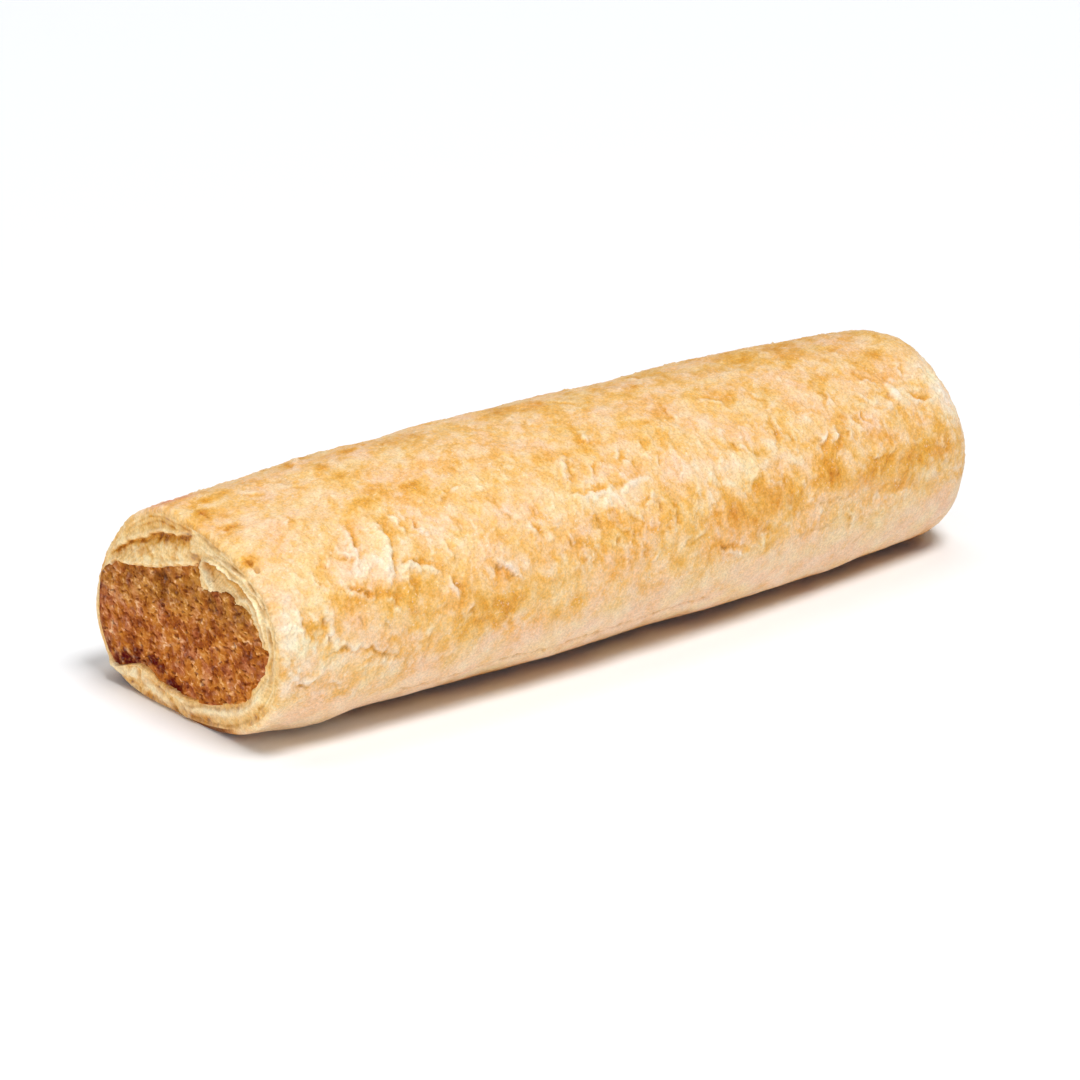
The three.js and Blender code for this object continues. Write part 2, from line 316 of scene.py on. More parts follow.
# Folds that show best.  Each is a raised pale ridge with a narrow crease on one side (1 is the left of the
# way it runs, -1 the right): height and half width in mm, side, and its line as (x in mm, s), where s is the
# fraction of the girth from the middle of the base by the front.  The crease and the hollow beyond it are
# painted darker and browner too: painted shade.
FOLDS = [
    (0.40, 0.45, 1, [(-55.0, 0.426), (-55.6, 0.400), (-57.2, 0.369)]),
    (0.60, 0.65, 1, [(-50.6, 0.418), (-50.2, 0.395), (-50.4, 0.375), (-52.0, 0.358), (-52.9, 0.345),
                     (-53.1, 0.328)]),
    (0.42, 0.45, 1, [(-50.7, 0.349), (-47.0, 0.338), (-43.8, 0.320)]),
    (0.38, 0.36, 1, [(-42.6, 0.315), (-42.4, 0.303), (-41.8, 0.291)]),
    (0.32, 0.36, 1, [(-43.8, 0.390), (-44.2, 0.382), (-43.8, 0.374)]),
    (0.50, 0.45, -1, [(-33.7, 0.308), (-31.5, 0.297), (-30.0, 0.286)]),
    (0.50, 0.50, -1, [(-65.5, 0.342), (-66.2, 0.315), (-65.3, 0.292)]),
    (0.30, 0.45, 1, [(-70.6, 0.346), (-71.2, 0.326), (-70.2, 0.306)]),
    (0.42, 0.42, 1, [(-61.6, 0.346), (-59.4, 0.337), (-57.2, 0.326)]),
    (0.34, 0.32, 1, [(-55.1, 0.326), (-54.0, 0.315), (-53.3, 0.305)]),
    (0.26, 0.36, -1, [(-68.0, 0.288), (-64.5, 0.291), (-61.5, 0.284), (-58.5, 0.277), (-56.5, 0.266),
                      (-53.6, 0.256)]),
    (0.30, 0.34, -1, [(-72.4, 0.262), (-70.5, 0.257), (-68.0, 0.261)]),
    (0.26, 0.34, -1, [(-66.4, 0.250), (-63.7, 0.245)]),
    (0.34, 0.46, 1, [(-14.9, 0.359), (-12.6, 0.349), (-9.4, 0.348), (-6.4, 0.352)]),
    (0.28, 0.40, 1, [(-5.6, 0.346), (-3.3, 0.349), (0.6, 0.354)]),
    (0.40, 0.50, 1, [(-11.0, 0.407), (-12.2, 0.390), (-13.5, 0.372)]),
    (0.30, 0.32, 1, [(-7.4, 0.388), (-8.4, 0.371)]),
    (0.38, 0.50, -1, [(-3.7, 0.438), (-4.4, 0.428), (-5.0, 0.418)]),
    (0.30, 0.36, 1, [(-0.3, 0.398), (-2.2, 0.382)]),
    (0.12, 0.30, -1, [(10.0, 0.299), (12.5, 0.304), (14.0, 0.311)]),
    (0.20, 0.34, -1, [(3.0, 0.268), (6.0, 0.271), (9.2, 0.274)]),
    (0.34, 0.36, 1, [(10.5, 0.249), (13.5, 0.243), (16.8, 0.233)]),
    (0.22, 0.34, -1, [(21.5, 0.312), (22.5, 0.318), (22.8, 0.326)]),
    (0.38, 0.34, -1, [(38.3, 0.331), (39.4, 0.337), (39.8, 0.344)]),
    (0.40, 0.34, -1, [(40.6, 0.326), (42.0, 0.332), (42.4, 0.341)]),
    (0.38, 0.34, 1, [(44.0, 0.327), (44.9, 0.333), (44.6, 0.340)]),
    (0.55, 0.62, -1, [(58.9, 0.380), (58.2, 0.368), (59.1, 0.350)]),
    (0.40, 0.45, 1, [(61.5, 0.359), (63.9, 0.344), (66.2, 0.347)]),
    (0.20, 0.30, -1, [(46.5, 0.298), (50.5, 0.295), (54.2, 0.298)]),
    (0.30, 0.34, 1, [(54.0, 0.400), (56.5, 0.392)]),
    (0.30, 0.34, -1, [(29.0, 0.352), (30.2, 0.366)]),
    (0.34, 0.40, 1, [(-24.5, 0.336), (-23.8, 0.322)]),
    (0.30, 0.36, -1, [(-27.5, 0.360), (-26.4, 0.346)]),
]
# Folds scattered from a seed: how many, the part of them that lies on the back, and for each fold its place
# (x in mm, s), length in mm, lean in degrees, bend as a part of the length, height and half width in mm.
# Of s and lean the mean and the spread are given, of the bend the spread, and of the rest the range.
SMALL_FOLDS = {
    "seed": 11, "count": 120, "x": (-71, 66), "s": (0.335, 0.06), "on_back": 0.45, "length": (1.4, 5.0),
    "lean": (2, 26), "bend": 0.22, "rise": (0.10, 0.30), "width": (0.24, 0.42),
}
BACK_FOLDS = {
    "seed": 12, "count": 22, "x": (-66, 62), "s": (0.325, 0.055), "on_back": 1, "length": (3.0, 7.0),
    "lean": (-8, 34), "bend": 0.20, "rise": (0.28, 0.52), "width": (0.38, 0.58),
}
# Fine dark lines without a ridge, cut in and painted dark as painted shade: depth, half width, line.
LINES = [
    (0.30, 0.16, [(-48.2, 0.322), (-48.0, 0.306)]),
    (0.40, 0.26, [(-60.4, 0.316), (-60.0, 0.301)]),
    (0.35, 0.30, [(-55.9, 0.298), (-55.0, 0.291)]),
    (0.45, 0.28, [(-11.9, 0.319), (-11.5, 0.304)]),
    (0.40, 0.32, [(0.7, 0.321), (1.0, 0.311)]),
    (0.30, 0.22, [(35.6, 0.339), (38.4, 0.336)]),
    (0.25, 0.22, [(34.5, 0.262), (38.5, 0.260), (42.6, 0.262)]),
    (0.22, 0.22, [(28.5, 0.231), (33.5, 0.229), (38.5, 0.231)]),
    (0.45, 0.32, [(-51.0, 0.190), (-44.4, 0.182), (-37.1, 0.177)]),
    (0.45, 0.32, [(-36.0, 0.176), (-27.8, 0.177), (-19.6, 0.175)]),
    (0.40, 0.30, [(-18.0, 0.176), (-7.7, 0.175), (1.0, 0.177), (12.0, 0.175)]),
    (0.90, 0.42, [(-72.1, 0.483), (-70.5, 0.488), (-69.2, 0.490)]),
    (0.80, 0.38, [(-71.8, 0.524), (-71.3, 0.534)]),
    (1.10, 0.50, [(-73.4, 0.420), (-73.5, 0.411), (-73.4, 0.404)]),
    (0.45, 0.60, [(-55.2, 0.541), (-54.6, 0.531)]),
    (0.20, 0.30, [(-21.4, 0.460), (-19.5, 0.464), (-17.0, 0.459)]),
]
# Browner, paler and rosier patches: x, s, half length along the roll, half width round it, strength.
BROWN_PATCHES = [
    (-63.0, 0.326, 5.5, 4.2, 0.34), (-69.3, 0.326, 1.4, 2.6, 0.42), (-37.5, 0.268, 6.5, 4.6, 0.34),
    (-33.2, 0.254, 2.6, 2.4, 0.34), (-53.5, 0.318, 3.0, 2.6, 0.28), (-46.5, 0.312, 4.5, 3.4, 0.26),
    (-47.5, 0.443, 6.0, 3.0, 0.30), (-47.5, 0.499, 3.0, 1.8, 0.40), (-39.2, 0.439, 2.2, 0.9, 0.70),
    (-38.5, 0.425, 3.5, 2.4, 0.28), (-27.9, 0.444, 4.0, 2.2, 0.28), (-13.8, 0.417, 2.2, 2.0, 0.45),
    (-6.0, 0.412, 6.0, 2.2, 0.34), (-4.3, 0.305, 7.5, 3.2, 0.30), (-12.6, 0.287, 2.0, 1.8, 0.45),
    (7.4, 0.316, 3.0, 2.6, 0.38), (15.6, 0.279, 5.0, 3.6, 0.48), (23.2, 0.283, 4.2, 3.6, 0.50),
    (29.0, 0.290, 2.4, 2.4, 0.40), (37.6, 0.298, 4.2, 4.2, 0.66), (47.8, 0.277, 3.0, 2.2, 0.42),
    (57.5, 0.275, 9.0, 3.6, 0.50), (66.0, 0.290, 4.0, 4.0, 0.34), (53.4, 0.251, 3.0, 1.8, 0.40),
    (43.0, 0.350, 4.0, 2.0, 0.30), (45.0, 0.512, 18.0, 5.0, 0.30), (-8.0, 0.535, 9.0, 4.0, 0.25),
    (-71.0, 0.520, 4.0, 6.0, 0.30), (-69.5, 0.556, 4.5, 1.3, 0.55), (-73.4, 0.424, 1.3, 1.4, 1.10),
    (-70.6, 0.487, 1.7, 0.9, 0.90), (-71.6, 0.536, 1.4, 1.1, 0.90), (-48.2, 0.527, 2.2, 1.2, 0.45),
    (-39.3, 0.545, 2.0, 1.2, 0.55), (62.0, 0.440, 3.0, 2.0, 0.30),
]
BACK_PATCHES = 16
PALE_PATCHES = [
    (-72.4, 0.312, 3.4, 7.5, 0.68), (-67.0, 0.318, 2.0, 5.0, 0.42), (-51.0, 0.356, 4.0, 5.0, 0.36),
    (-57.5, 0.366, 3.0, 3.0, 0.28), (-64.0, 0.276, 5.5, 2.2, 0.35), (-41.0, 0.368, 4.5, 2.5, 0.35),
    (-8.5, 0.340, 6.5, 1.7, 0.46), (-31.5, 0.298, 4.0, 1.4, 0.35), (10.0, 0.300, 4.0, 2.0, 0.40),
    (19.0, 0.334, 11.0, 4.0, 0.20), (5.0, 0.350, 14.0, 3.0, 0.18), (58.6, 0.366, 2.2, 2.6, 0.45),
    (69.5, 0.355, 3.4, 9.0, 0.85), (47.0, 0.352, 5.0, 2.4, 0.25), (60.0, 0.252, 8.0, 2.0, 0.30),
]
ROSY_PATCHES = [(-72, 0.605, 6.5, 4.5, 1.1), (71, 0.18, 6, 5, 0.22)]
# Broad swells and hollows that the roll's outline shows: x, s, half length, half width in mm, rise in mm.
SWELLS = [
    (-65.0, 0.150, 7.5, 9.0, 1.0), (-35.0, 0.130, 9.0, 8.0, -0.4), (0.0, 0.130, 12.0, 8.0, -0.6),
    (29.0, 0.125, 9.0, 8.0, 0.3), (43.0, 0.120, 6.0, 8.0, 0.5), (-42.0, 0.590, 6.0, 8.0, 0.5),
    (12.0, 0.590, 15.0, 8.0, -0.5), (65.0, 0.545, 5.0, 6.0, -0.4), (68.0, 0.460, 5.0, 9.0, 0.5),
    (72.0, 0.330, 4.0, 8.0, -0.5),
]
TOP_SLANT = 0.74  # how far the patterns on top lean over, in mm along the roll for each mm round it
# Where the zones of the skin begin, as fractions of the girth from the middle of the base.
BASE_EDGE = 0.10
FOOT_EDGE = 0.20
TOP_EDGE = 0.385
BROWNEST = 0.28  # the middle of the band that browns most


def girth_distance(s, centre):
    """Signed distance in mm round the girth from the fraction centre."""
    return ((s - centre + 0.5) % 1.0 - 0.5) * GIRTH


def scattered_folds(kind):
    """Folds of one kind, each bent in the middle, in the form of FOLDS."""
    rng = np.random.default_rng(kind["seed"])
    found = []
    for _ in range(kind["count"]):
        at_x = rng.uniform(*kind["x"])
        at_s = rng.normal(*kind["s"])
        if kind["on_back"] == 1 or rng.random() < kind["on_back"]:
            at_s = 1 - at_s
        length = rng.uniform(*kind["length"])
        lean = math.radians(rng.normal(*kind["lean"]))
        bend = rng.normal(0, kind["bend"]) * length
        step_x = -math.sin(lean) * length / 2
        step_s = math.cos(lean) * length / 2 / GIRTH
        line = [(at_x - step_x, at_s - step_s), (at_x + bend, at_s), (at_x + step_x, at_s + step_s)]
        found.append((rng.uniform(*kind["rise"]), rng.uniform(*kind["width"]), rng.choice([-1, 1]), line))
    return found


def back_patches():
    """Browner patches scattered over the back, about as many as the front shows."""
    rng = np.random.default_rng(13)
    found = []
    for _ in range(BACK_PATCHES):
        at_x = rng.uniform(-66, 66)
        at_s = 1 - rng.normal(0.300, 0.030)
        found.append((at_x, at_s, rng.uniform(2, 6), rng.uniform(2, 4), rng.uniform(0.25, 0.50)))
    return found


def waves(x, s, along, around, seed, octaves=2, fade=0.5):
    """Noise over the skin with waves of the given sizes in mm."""
    wrap = max(2, round(GIRTH / around))
    return layered_noise(x / along, s * wrap, seed, octaves, wrap, fade)


def ridged_waves(x, s, along, around, seed, octaves):
    """Branching crests over the skin, with the given sizes in mm."""
    wrap = max(2, round(GIRTH / around))
    return ridged_noise(x / along, s * wrap, seed, octaves, wrap)


class SkinPlaces:
    """Points of the skin by x (mm) and girth fraction s, the zone each is in, and noise over them."""

    def __init__(self, x_axis, s_axis):
        x, s = np.meshgrid(x_axis, s_axis, indexing="ij")
        self.x_axis, self.s_axis, self.x, self.s = x_axis, s_axis, x, s
        self.side = np.where(s < 0.5, s, 1 - s) + 0.014 * self.even(9, 9, 101, 3)
        self.foot = 1 - ease((self.side - FOOT_EDGE) / 0.040)
        self.top = ease((self.side - TOP_EDGE) / 0.07)
        self.middle = clamp(1 - self.foot - self.top)
        self.base = (1 - ease((self.side - BASE_EDGE) / 0.05)) * (1 - 0.9 * ease((x - 66) / 6))
        self.band = hump(girth_distance(self.side, BROWNEST), 6.5) * (1 - self.foot)
        self.busy = ease(0.5 + 1.2 * self.even(11, 8, 41))
        self.ragged = 1 + 0.50 * self.even(2.6, 2.6, 121, 3)
        bend = 1.3 * self.even(7, 7, 15)
        self.bent_x = x + 0.10 * GIRTH_RADIUS * np.sin(2 * math.pi * (s - 0.35)) + bend
        self.bent_s = s + 1.3 / GIRTH * self.even(7, 7, 18)
        self.slant_x = x - TOP_SLANT * GIRTH_RADIUS * np.sin(2 * math.pi * (s - 0.45)) + 0.7 * bend
        self.slant_s = s + 0.40 * x / GIRTH

    def even(self, *pattern):
        """Noise with waves of sizes in mm along and round, a seed, and maybe octaves and fade."""
        return waves(self.x, self.s, *pattern)

    def bent(self, *pattern):
        """The same, with lines that bend a little."""
        return waves(self.bent_x, self.bent_s, *pattern)

    def slanted(self, *pattern):
        """The same, leaning over as the patterns on top do."""
        return waves(self.slant_x, self.slant_s, *pattern)

    def zones(self, middle, top, foot):
        """A value for each of the three zones, blended where they meet."""
        return middle * self.middle + top * self.top + foot * self.foot

    def oval(self, at_x, at_s, half_x, half_s):
        """Distance from a place, counted in the half sizes of an oval round it."""
        return np.hypot((self.x - at_x) / half_x, girth_distance(self.s, at_s) / half_s)

    def near_line(self, warp, line, margin):
        """The block of the grid within margin mm of a line, and what line_distance gives there."""
        start_s = line[0][1]
        flat = [(x, girth_distance(s, start_s)) for x, s in line]
        low, high = np.min(flat, 0) - margin, np.max(flat, 0) + margin
        around = girth_distance(self.s_axis, start_s)
        rows = np.nonzero((self.x_axis > low[0]) & (self.x_axis < high[0]))[0]
        columns = np.nonzero((around > low[1]) & (around < high[1]))[0]
        block = np.ix_(rows, columns)
        x = self.x_axis[rows][:, None] + warp[0][block]
        round_line = around[columns][None, :] + warp[1][block]
        return block, *line_distance(x, round_line, flat)


def skin_knobs(at):
    """Small uneven relief in mm: crests, torn flakes and blisters."""
    lively = (0.22 + 0.78 * at.middle) * lerp(0.45, 1.0, at.busy) * (1 - 0.75 * at.foot)
    side_crests = ridged_waves(at.bent_x, at.bent_s, 3.2, 4.9, 31, 4)
    top_crests = ridged_waves(at.slant_x, at.slant_s, 3.0, 4.4, 36, 4)
    knobs = 0.46 * lively * (lerp(side_crests, top_crests, at.top) - 0.42)
    flake = 3.0 * lerp(at.bent(4.4, 3.2, 51, 4, 0.6), at.slanted(4.2, 5.6, 51, 4, 0.6), at.top)
    part = flake - np.floor(flake)
    stair = ease((part - 0.40) / 0.15) - part
    torn = clamp(0.4 + 1.8 * at.even(3.6, 3.6, 56))
    blister = lerp(at.even(2.2, 2.4, 58, 3, 0.6), at.slanted(2.1, 3.0, 58, 3, 0.6), at.top)
    return knobs + at.zones(0.17, 0.12, 0.04) * torn * stair + at.zones(0.16, 0.22, 0.06) * blister


def add_folds(at, height):
    """Raises the folds and cuts the fine lines, and says how strongly ridges, valleys and slits show; the
    valleys and slits are later given painted shade.
    """
    warp = 0.90 * at.even(1.7, 1.7, 61, 3), 0.90 * at.even(1.7, 1.7, 65, 3)
    broken = clamp(0.5 + 1.3 * at.even(1.5, 1.5, 68))
    ridges, valleys, slits = (np.zeros_like(height) for _ in range(3))
    for rise, width, side, line in FOLDS + scattered_folds(SMALL_FOLDS) + scattered_folds(BACK_FOLDS):
        block, distance, along, signed = at.near_line(warp, line, 4 * width + 1.2)
        taper = clamp(4 * along * (1 - along) + 0.15) ** 0.6 * clamp((3.5 * width + 0.8 - distance) / 0.6)
        across = side * np.where(signed >= 0, distance, -distance)
        ridge = taper * lerp(0.5, 1.2, broken[block]) * hump(across + 0.4 * width, 1.25 * width)
        valley = taper * hump(across - 1.9 * width, 1.3 * width)
        slit = taper * clamp(1.30 - 2.0 * broken[block]) * hump(across - 1.3 * width, max(0.2, 0.30 * width))
        height[block] += rise * (ridge - 0.45 * valley - 0.9 * slit)
        strength = min(1.0, rise / 0.36)
        for total, shape in ((ridges, ridge), (valleys, valley), (slits, slit)):
            total[block] = np.maximum(total[block], strength * shape)
    for depth, width, line in LINES:
        block, distance, _, _ = at.near_line(warp, line, 3 * width)
        cut = hump(distance, width) * (1 - 0.7 * broken[block])
        height[block] -= depth * cut
        slits[block] = np.maximum(slits[block], min(1.0, depth / 0.5) * cut)
    return ridges, valleys, slits


def skin_browning(at, knobs):
    """How baked, how pale and how rosy the skin is, before its folds count."""
    side_bake = 0.34 * at.bent(6, 5, 81, 3) + 0.27 * at.bent(2.1, 2.5, 91, 4, 0.6)
    top_bake = 0.38 * at.slanted(5.6, 7.6, 151, 3) + 0.31 * at.slanted(1.9, 2.6, 154, 4, 0.65)
    bake = 0.48 + at.zones(0.02, 0.03, -0.12) + lerp(side_bake, top_bake, ease((at.side - 0.36) / 0.08))
    bake += 0.10 * (ease(0.5 + at.bent(4.0, 3.4, 157, 4, 0.6) / 0.10) - 0.5)
    bake += at.band * (0.08 + 0.10 * at.bent(1.0, 3.6, 94)) + 0.07 * at.even(0.8, 0.8, 98)
    bake += 0.04 * hump(at.side - 0.42, 0.05) - 0.07 * ease((-50 - at.x) / 10) * (1 - at.foot)
    bake -= 0.30 * knobs + 0.16 * at.foot * at.bent(1.8, 3.6, 91, 4, 0.6)
    cloud = ease((at.bent(2.6, 2.9, 111, 4, 0.62) - 0.08) / 0.17)
    pale = 0.40 * cloud * (1 - at.foot) * (0.55 + 0.45 * at.middle) * lerp(0.6, 1.0, at.busy)
    pale += 1.2 * clamp(knobs - 0.04) * (1 - at.foot) + at.zones(-0.06, 0, 0.25)
    rosy = clamp(0.40 + at.even(9, 7, 141, 3) + 0.45 * at.bent(3, 3, 144, 3) + 0.30 * at.foot)
    streak = 0.9 + at.bent(1.5, 2.8, 131, 4, 0.6)
    crumbly = 0.30 + 1.1 * ease(0.5 + 1.8 * at.bent(1.1, 1.9, 136, 3, 0.6))
    for *place, strength in BROWN_PATCHES + back_patches():
        patch = strength * hump(at.oval(*place) * at.ragged, 0.85)
        bake += 0.75 * patch * streak
        pale -= 0.5 * patch
    for *place, strength in PALE_PATCHES:
        patch = strength * hump(at.oval(*place) * at.ragged, 0.9)
        pale += patch * crumbly
        bake -= 0.4 * patch
    for *place, strength in ROSY_PATCHES:
        rosy += strength * hump(at.oval(*place) * at.ragged, 1.0)
    return bake, pale, rosy


def skin_look(x_axis, s_axis):
    """Relief of the skin in mm, and its look, on the grid of x (mm) by s (0 to 1)."""
    at = SkinPlaces(x_axis, s_axis)
    knobs = skin_knobs(at)
    height = 0.40 * at.even(13, 12, 21) + knobs + at.zones(0.08, 0.10, 0.04) * at.even(0.8, 0.9, 71)
    for *place, rise in SWELLS:
        height += rise * hump(at.oval(*place), 1.0)
    ridges, valleys, slits = add_folds(at, height)
    bake, pale, rosy = skin_browning(at, knobs)
    # Painted shade: the valleys beside the ridges and the slits are made browner and less pale, and the slits
    # darker through shade; the ridges are paler.
    pale += 0.62 * ridges - 0.35 * valleys
    bake += 0.32 * valleys - 0.10 * ridges + 0.2 * slits
    bake = np.where(bake > 0.80, 0.80 + 0.45 * (bake - 0.80), bake) + 0.90 * at.base
    look = {
        "bake": clamp(bake, -0.2, 1.3),
        "pale": clamp(pale * (1 - at.base)),
        "shade": clamp(0.95 * slits),
        "rosy": clamp(rosy, 0.0, 2.0),
    }
    return height * (1 - 0.8 * at.base), look


# ---------- meshes


def new_mesh_object(name, points, faces, fields, material, normals=None):
    """A smooth-shaded mesh object from points in mm, faces, and named values for each point."""
    mesh = bpy.data.meshes.new(name)
    mesh.from_pydata((points * MM).tolist(), [], faces)
    mesh.update()
    for field, values in fields.items():
        layer = mesh.attributes.new(field, "FLOAT", "POINT")
        layer.data.foreach_set("value", np.asarray(values, np.float32).ravel())
    mesh.polygons.foreach_set("use_smooth", np.ones(len(mesh.polygons), bool))
    if normals is not None:
        mesh.normals_split_custom_set_from_vertices(normals.tolist())
    mesh.materials.append(material)
    thing = bpy.data.objects.new(name, mesh)
    bpy.context.scene.collection.objects.link(thing)
    return thing


def strip_faces(rows, around):
    """Quads between rows of around points each, closed round."""
    index = np.arange(rows * around).reshape(rows, around)
    near, far = index[:-1], index[1:]
    quads = np.stack([near, far, np.roll(far, -1, 1), np.roll(near, -1, 1)], -1)
    return quads.reshape(-1, 4).tolist()


def surface_normals(grid):
    """Outward unit normals of a grid of points [row, round, xyz] whose rows run towards the round end."""
    down = np.gradient(grid, axis=0)
    sideways = np.roll(grid, -1, 1) - np.roll(grid, 1, 1)
    normal = np.cross(down, sideways)
    length = np.linalg.norm(normal, axis=2, keepdims=True)
    return normal / np.maximum(length, 1e-9)


def bare_skin(stations, around):
    """The smooth skin at stations (x, inset) as a grid of points."""
    grid = np.zeros((len(stations), around, 3))
    for row, (x, inset) in enumerate(stations):
        y, z = skin_outline(x, inset, around)
        grid[row, :, 0] = x
        grid[row, :, 1] = y
        grid[row, :, 2] = z
    return grid


def raise_skin(grid, stations):
    """The skin with its relief, and its look."""
    around = grid.shape[1]
    height, look = skin_look(np.array([station[0] for station in stations]), np.arange(around) / around)
    raised = grid + surface_normals(grid) * height[..., None]
    raised[..., 2] = np.maximum(raised[..., 2], FLOOR_GAP)
    return raised, look


def round_end_stations():
    """Stations over the rounded far rim, as (x, inset)."""
    found = []
    for angle in np.linspace(0, math.pi / 2 * ROUND_END_TURN, 60)[1:]:
        x = HALF_LENGTH - ROUND_END_ROUND * (1 - math.sin(angle) ** ROUND_END_POWER)
        found.append((x, ROUND_END_ROUND * (1 - math.cos(angle) ** ROUND_END_POWER)))
    return found


def round_end_mouth(rim, rim_look):
    """Rows of points from the far rim inwards to the meat, turning back into the roll, and their look."""
    s = np.arange(len(rim)) / len(rim)
    uneven = 1 + 0.35 * layered_noise(np.full(s.shape, 3.0), s * MOUTH_WAVES, 441, 3, MOUTH_WAVES)
    t = np.linspace(0, 1, MOUTH_ROWS + 1)[1:, None]
    drawn_in = MOUTH_WIDTH * t * uneven
    x = rim[:, 0] + 0.6 * np.sin(math.pi * t) - 2.4 * t**3
    y = lerp(rim[:, 1], MOUTH_CENTRE[0], drawn_in)
    z = lerp(rim[:, 2], MOUTH_CENTRE[1], drawn_in)
    # Thin sheets that follow the rim.
    place = 4.5 * t + 0.9 * layered_noise(y / 2.6, z / 2.6, 446, 3)
    sheet = hump(place - np.floor(place) - 0.5, 0.26)
    grain = layered_noise(y / 1.6, z / 1.6, 456, 3)
    inward = ease(t / 0.25)
    x = x + inward * (0.22 * sheet - 0.10 + 0.15 * layered_noise(y / 1.2, z / 1.2, 451, 2))
    # Between the sheets the crumb is painted browner and darker: painted shade in the seams.
    crumb_look = {
        "bake": 0.46 + 0.40 * grain + 0.20 * (1 - sheet),
        "pale": clamp(0.10 + 0.5 * sheet * clamp(0.5 + grain)),
        "shade": 0.40 * (1 - sheet) * clamp(0.3 + grain),
        "rosy": np.full(y.shape, 0.5),
        "cut": np.ones(y.shape),
    }
    look = {field: lerp(rim_look[field], values, inward) for field, values in crumb_look.items()}
    return np.stack([x, y, z], -1), look


def make_skin(material):
    """The skin's pieces, which share their end rings, and the ring of points that the cut end joins."""
    start = -HALF_LENGTH + CUT_SKIN_LENGTH
    end = HALF_LENGTH - ROUND_END_ROUND
    rim = round_end_stations()
    straight = SKIN_STRETCHES * STRETCH_ROWS + 1 - len(rim) - MOUTH_ROWS
    stations = [(x, 0.0) for x in np.linspace(start, end, straight)] + rim
    raised, look = raise_skin(bare_skin(stations, SKIN_AROUND), stations)
    look["cut"] = np.zeros(raised.shape[:2])
    look["cut"][-8:] = np.linspace(0, 1, 8)[:, None]
    mouth, mouth_look = round_end_mouth(raised[-1], {field: values[-1] for field, values in look.items()})
    grid = np.concatenate([raised, mouth])
    look = {field: np.concatenate([look[field], mouth_look[field]]) for field in look}
    normals = surface_normals(grid)
    pieces = []
    for stretch in range(SKIN_STRETCHES):
        rows = slice(stretch * STRETCH_ROWS, (stretch + 1) * STRETCH_ROWS + 1)
        fields = {field: values[rows] for field, values in look.items()}
        points = grid[rows].reshape(-1, 3)
        faces = strip_faces(STRETCH_ROWS + 1, SKIN_AROUND)
        name = f"pastry_skin_{stretch + 1}"
        pieces.append(new_mesh_object(name, points, faces, fields, material, normals[rows].reshape(-1, 3)))
    return pieces, grid[0]


# ---------- the cut end of the pastry

# Its features are lines (y, z).  The lip of the top crust over the gap:
CRUST_LIP = [
    (22.6, 20.8), (21.5, 22.3), (19.0, 24.0), (15.7, 26.0), (11.7, 27.7), (9.7, 28.8), (7.3, 29.9),
    (4.9, 30.2), (2.5, 30.7), (-0.4, 31.4),
]
# Proud edges of single sheets: height, half width, line.
FACE_RIDGES = [
    (1.10, 0.30, [(-2.9, 27.2), (-4.0, 28.3), (-5.6, 28.7), (-7.9, 28.8), (-10.6, 28.2), (-12.9, 27.7),
                  (-15.5, 26.9), (-17.4, 26.1), (-18.9, 25.0), (-20.0, 23.4), (-20.7, 21.3), (-20.8, 19.0)]),
    (0.60, 0.28, [(-3.4, 30.3), (-6.5, 30.0), (-10.0, 29.5), (-13.4, 29.1), (-16.2, 28.0), (-18.6, 27.0),
                  (-20.4, 25.2), (-21.6, 22.8), (-21.9, 19.6), (-21.4, 16.4)]),
    (0.55, 0.26, [(-9.0, 31.2), (-12.8, 31.0), (-16.4, 30.0), (-19.3, 28.6), (-21.8, 26.4), (-23.1, 23.8),
                  (-23.4, 20.6), (-22.9, 16.6), (-21.2, 12.6)]),
    (0.50, 0.26, [(-13.0, 24.6), (-15.2, 25.0), (-17.0, 24.2), (-18.6, 22.4), (-19.8, 20.0), (-20.4, 17.6)]),
    (0.45, 0.50, [(-3.7, 27.0), (-4.6, 26.2), (-5.8, 25.0), (-6.8, 24.3)]),
    (0.45, 0.55, [(1.8, 1.9), (-4.0, 2.9), (-10.5, 4.6), (-15.0, 6.6), (-18.6, 9.8), (-21.2, 13.4)]),
    (0.50, 0.50, [(22.4, 2.9), (18.6, 2.6), (14.6, 3.6), (10.8, 2.8), (7.6, 1.8), (4.6, 1.6)]),
]
# Valleys between sheets, cut in and also painted darker as painted shade: depth, half width, line.
FACE_GAPS = [
    (0.90, 0.30, [(-2.6, 32.3), (-5.3, 31.9), (-6.9, 31.6), (-9.9, 31.5), (-12.2, 31.2), (-14.2, 30.8)]),
    (1.00, 0.24, [(-5.7, 29.8), (-9.1, 29.9), (-12.6, 29.7), (-15.6, 28.5), (-17.8, 27.6), (-19.7, 26.2),
                  (-21.2, 24.0), (-22.0, 21.5), (-22.2, 18.4), (-21.9, 15.4)]),
    (0.80, 0.22, [(-12.4, 30.4), (-15.8, 29.6), (-18.6, 28.3), (-21.2, 26.4), (-22.8, 23.8), (-23.3, 20.4),
                  (-22.9, 16.8), (-21.4, 12.8)]),
    (0.90, 0.30, [(-4.6, 28.1), (-7.9, 28.1), (-10.6, 27.5), (-12.9, 26.9), (-15.5, 25.9), (-17.4, 24.9),
                  (-19.0, 23.2), (-20.0, 21.0), (-20.5, 18.0)]),
    (1.10, 0.30, [(-0.7, 29.0), (-1.9, 28.3), (-2.9, 27.6)]),
    (0.80, 0.18, [(-5.4, 26.9), (-6.2, 26.1), (-6.9, 25.3)]),
    (1.00, 0.26, [(6.2, 1.6), (4.0, 1.1), (2.0, 0.5), (0.4, -0.2)]),
    (0.40, 0.20, [(1.0, 2.4), (-4.0, 3.6), (-9.6, 5.0), (-14.0, 7.0)]),
    (0.45, 0.22, [(-0.4, 0.9), (-3.9, 1.0), (-8.2, 1.7), (-12.0, 3.0), (-16.6, 5.6), (-20.6, 9.6)]),
]
